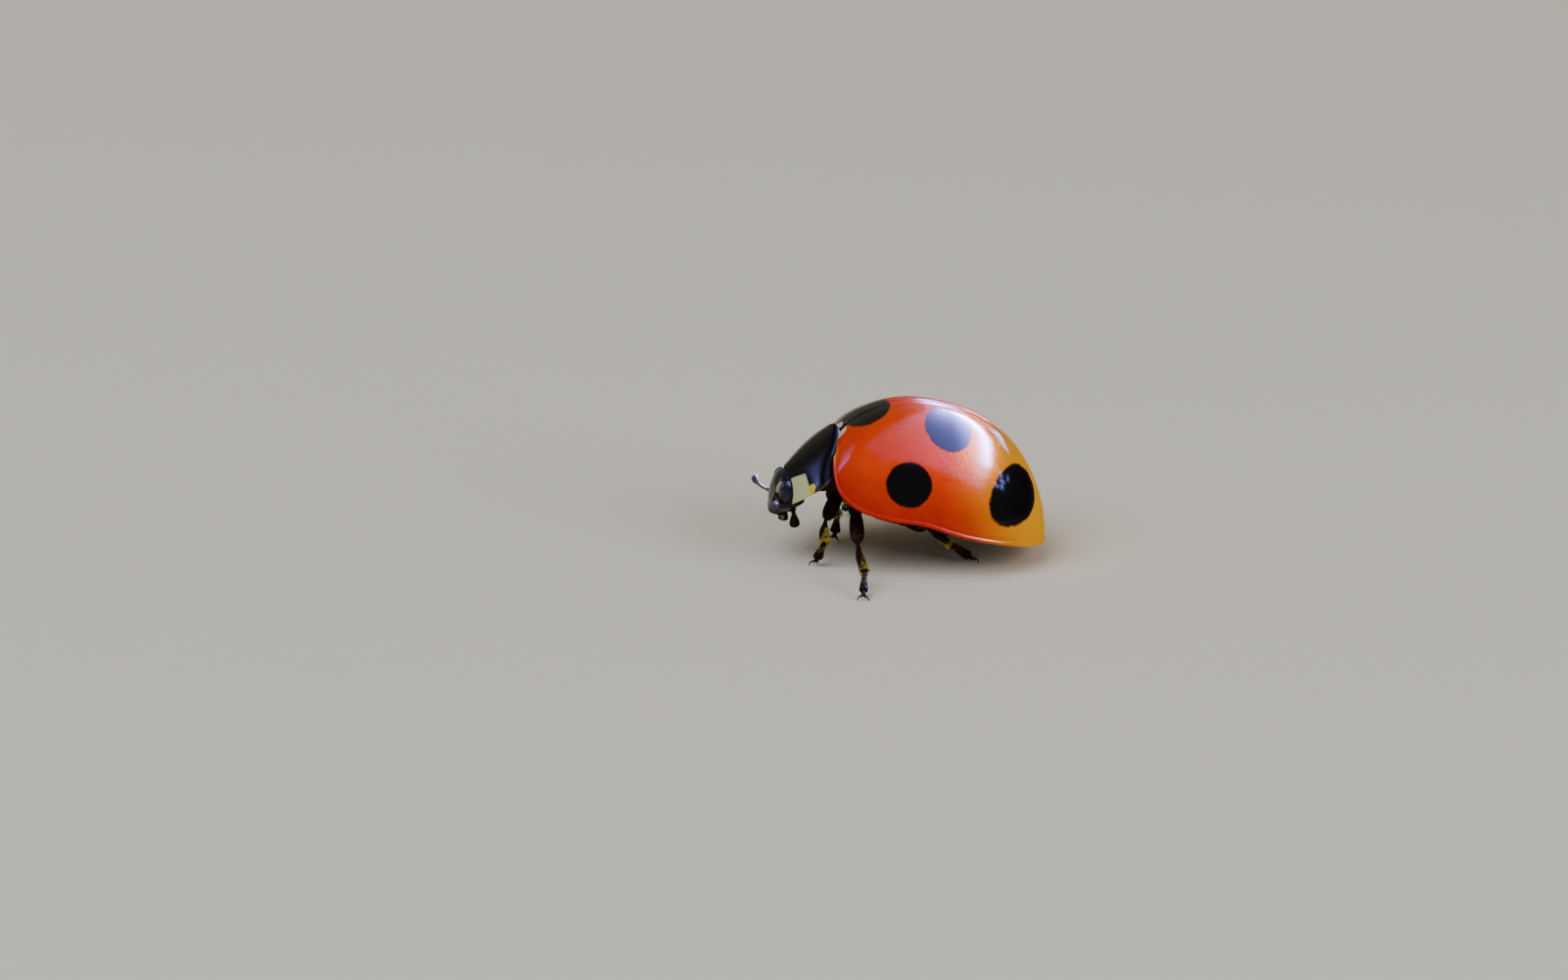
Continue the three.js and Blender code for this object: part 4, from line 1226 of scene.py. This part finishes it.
# How far each point lies from a line of points, with a flag for being inside it.
def lineDistance(points, line, closed):
    line = np.array(line, float)
    ends = np.roll(line, -1, axis=0) if closed else line[1:]
    starts = line if closed else line[:-1]
    nearest = np.full(len(points), np.inf)
    inside = np.zeros(len(points), bool)
    for a, b in zip(starts, ends):
        share = np.clip(((points - a) @ (b - a)) / ((b - a) @ (b - a)), 0, 1)
        nearest = np.minimum(nearest, np.linalg.norm(points - a - share[:, None] * (b - a), axis=1))
        if closed and a[1] != b[1]:
            crosses = (points[:, 1] < a[1]) != (points[:, 1] < b[1])
            inside ^= crosses & (points[:, 0] < a[0] + (points[:, 1] - a[1]) * (b[0] - a[0]) / (b[1] - a[1]))
    return nearest, inside


def addSkylight():
    k = skylight
    across = np.arange(k["span"][0], k["span"][1], k["step"])
    along = np.arange(k["span"][2], k["span"][3], k["step"])
    x, y = np.meshgrid(across, along, indexing="ij")
    flat = np.stack([x.ravel(), y.ravel()], -1)
    away, inside = lineDistance(flat, k["pane"], True)
    start, end = np.array(k["paneFrom"], float), np.array(k["paneTo"], float)
    share = np.clip(((flat - start) @ (end - start)) / ((end - start) @ (end - start)), 0, 1)
    depth = np.where(inside, away, -away)
    glow = smoothStep(depth, -k["paneSoft"], k["paneSoft"])
    glow = glow * (k["paneNear"] + (k["paneFar"] - k["paneNear"]) * share)
    for line, halfWidth, radiance in k["bars"]:
        away, inside = lineDistance(flat, line, False)
        glow += radiance * bump(away, halfWidth)
    peak = glow.max()
    shader = Shader("skylight", **{
        "Base Color": (0.0, 0.0, 0.0, 1.0), "Specular IOR Level": 0.0, "Roughness": 1.0,
        "Emission Color": (*k["tint"], 1.0), "Emission Strength": peak})
    points = np.concatenate([flat, np.full((len(flat), 1), float(k["height"]))], axis=1)
    material = shader.paint(Alpha=shader.attribute("glow"))
    sheet = newMesh("skylight", points, gridFaces(len(across), len(along)), material)
    giveValues(sheet, "glow", glow / peak)
    for ray in ("camera", "diffuse", "transmission", "volume_scatter", "shadow"):
        setattr(sheet, f"visible_{ray}", False)


def addStage():
    world = bpy.data.worlds.new("studio")
    world.use_nodes = True
    background = world.node_tree.nodes["Background"]
    background.inputs["Color"].default_value = (*stage["world"], 1.0)
    background.inputs["Strength"].default_value = stage["worldStrength"]
    bpy.context.scene.world = world
    addFloor()
    addSkylight()
    for name, values in stage["lamps"].items():
        addLight(name, *values)


def addCamera():
    a, e, r = (math.radians(view[key]) for key in ("azimuth", "elevation", "roll"))
    back = Vector((math.sin(a) * math.cos(e), -math.cos(a) * math.cos(e), math.sin(e)))
    right = Vector((math.cos(a), math.sin(a), 0))
    up = back.cross(right)
    right, up = right * math.cos(r) + up * math.sin(r), up * math.cos(r) - right * math.sin(r)
    scale = view["pixelsPerMillimetre"]
    distance = view["lens"] * view["frameWidth"] / (view["sensor"] * scale)
    anchor = Vector(shift)
    offX = (view["bodyAt"][0] - view["frameWidth"] / 2) / scale
    offY = (view["frameHeight"] / 2 - view["bodyAt"][1]) / scale
    eye = anchor + back * distance
    target = anchor - right * offX - up * offY
    data = bpy.data.cameras.new("camera")
    data.lens, data.sensor_width = view["lens"], view["sensor"]
    data.clip_start, data.clip_end = view["clip"]
    camera = linkObject("camera", data)
    camera.location = eye * metres
    look = (eye - target).normalized()
    side = up.cross(look).normalized()
    over = look.cross(side)
    camera.rotation_euler = Matrix((side, over, look)).transposed().to_euler()
    bpy.context.scene.camera = camera


addStage()
addCamera()
print("stage, lights and camera made")
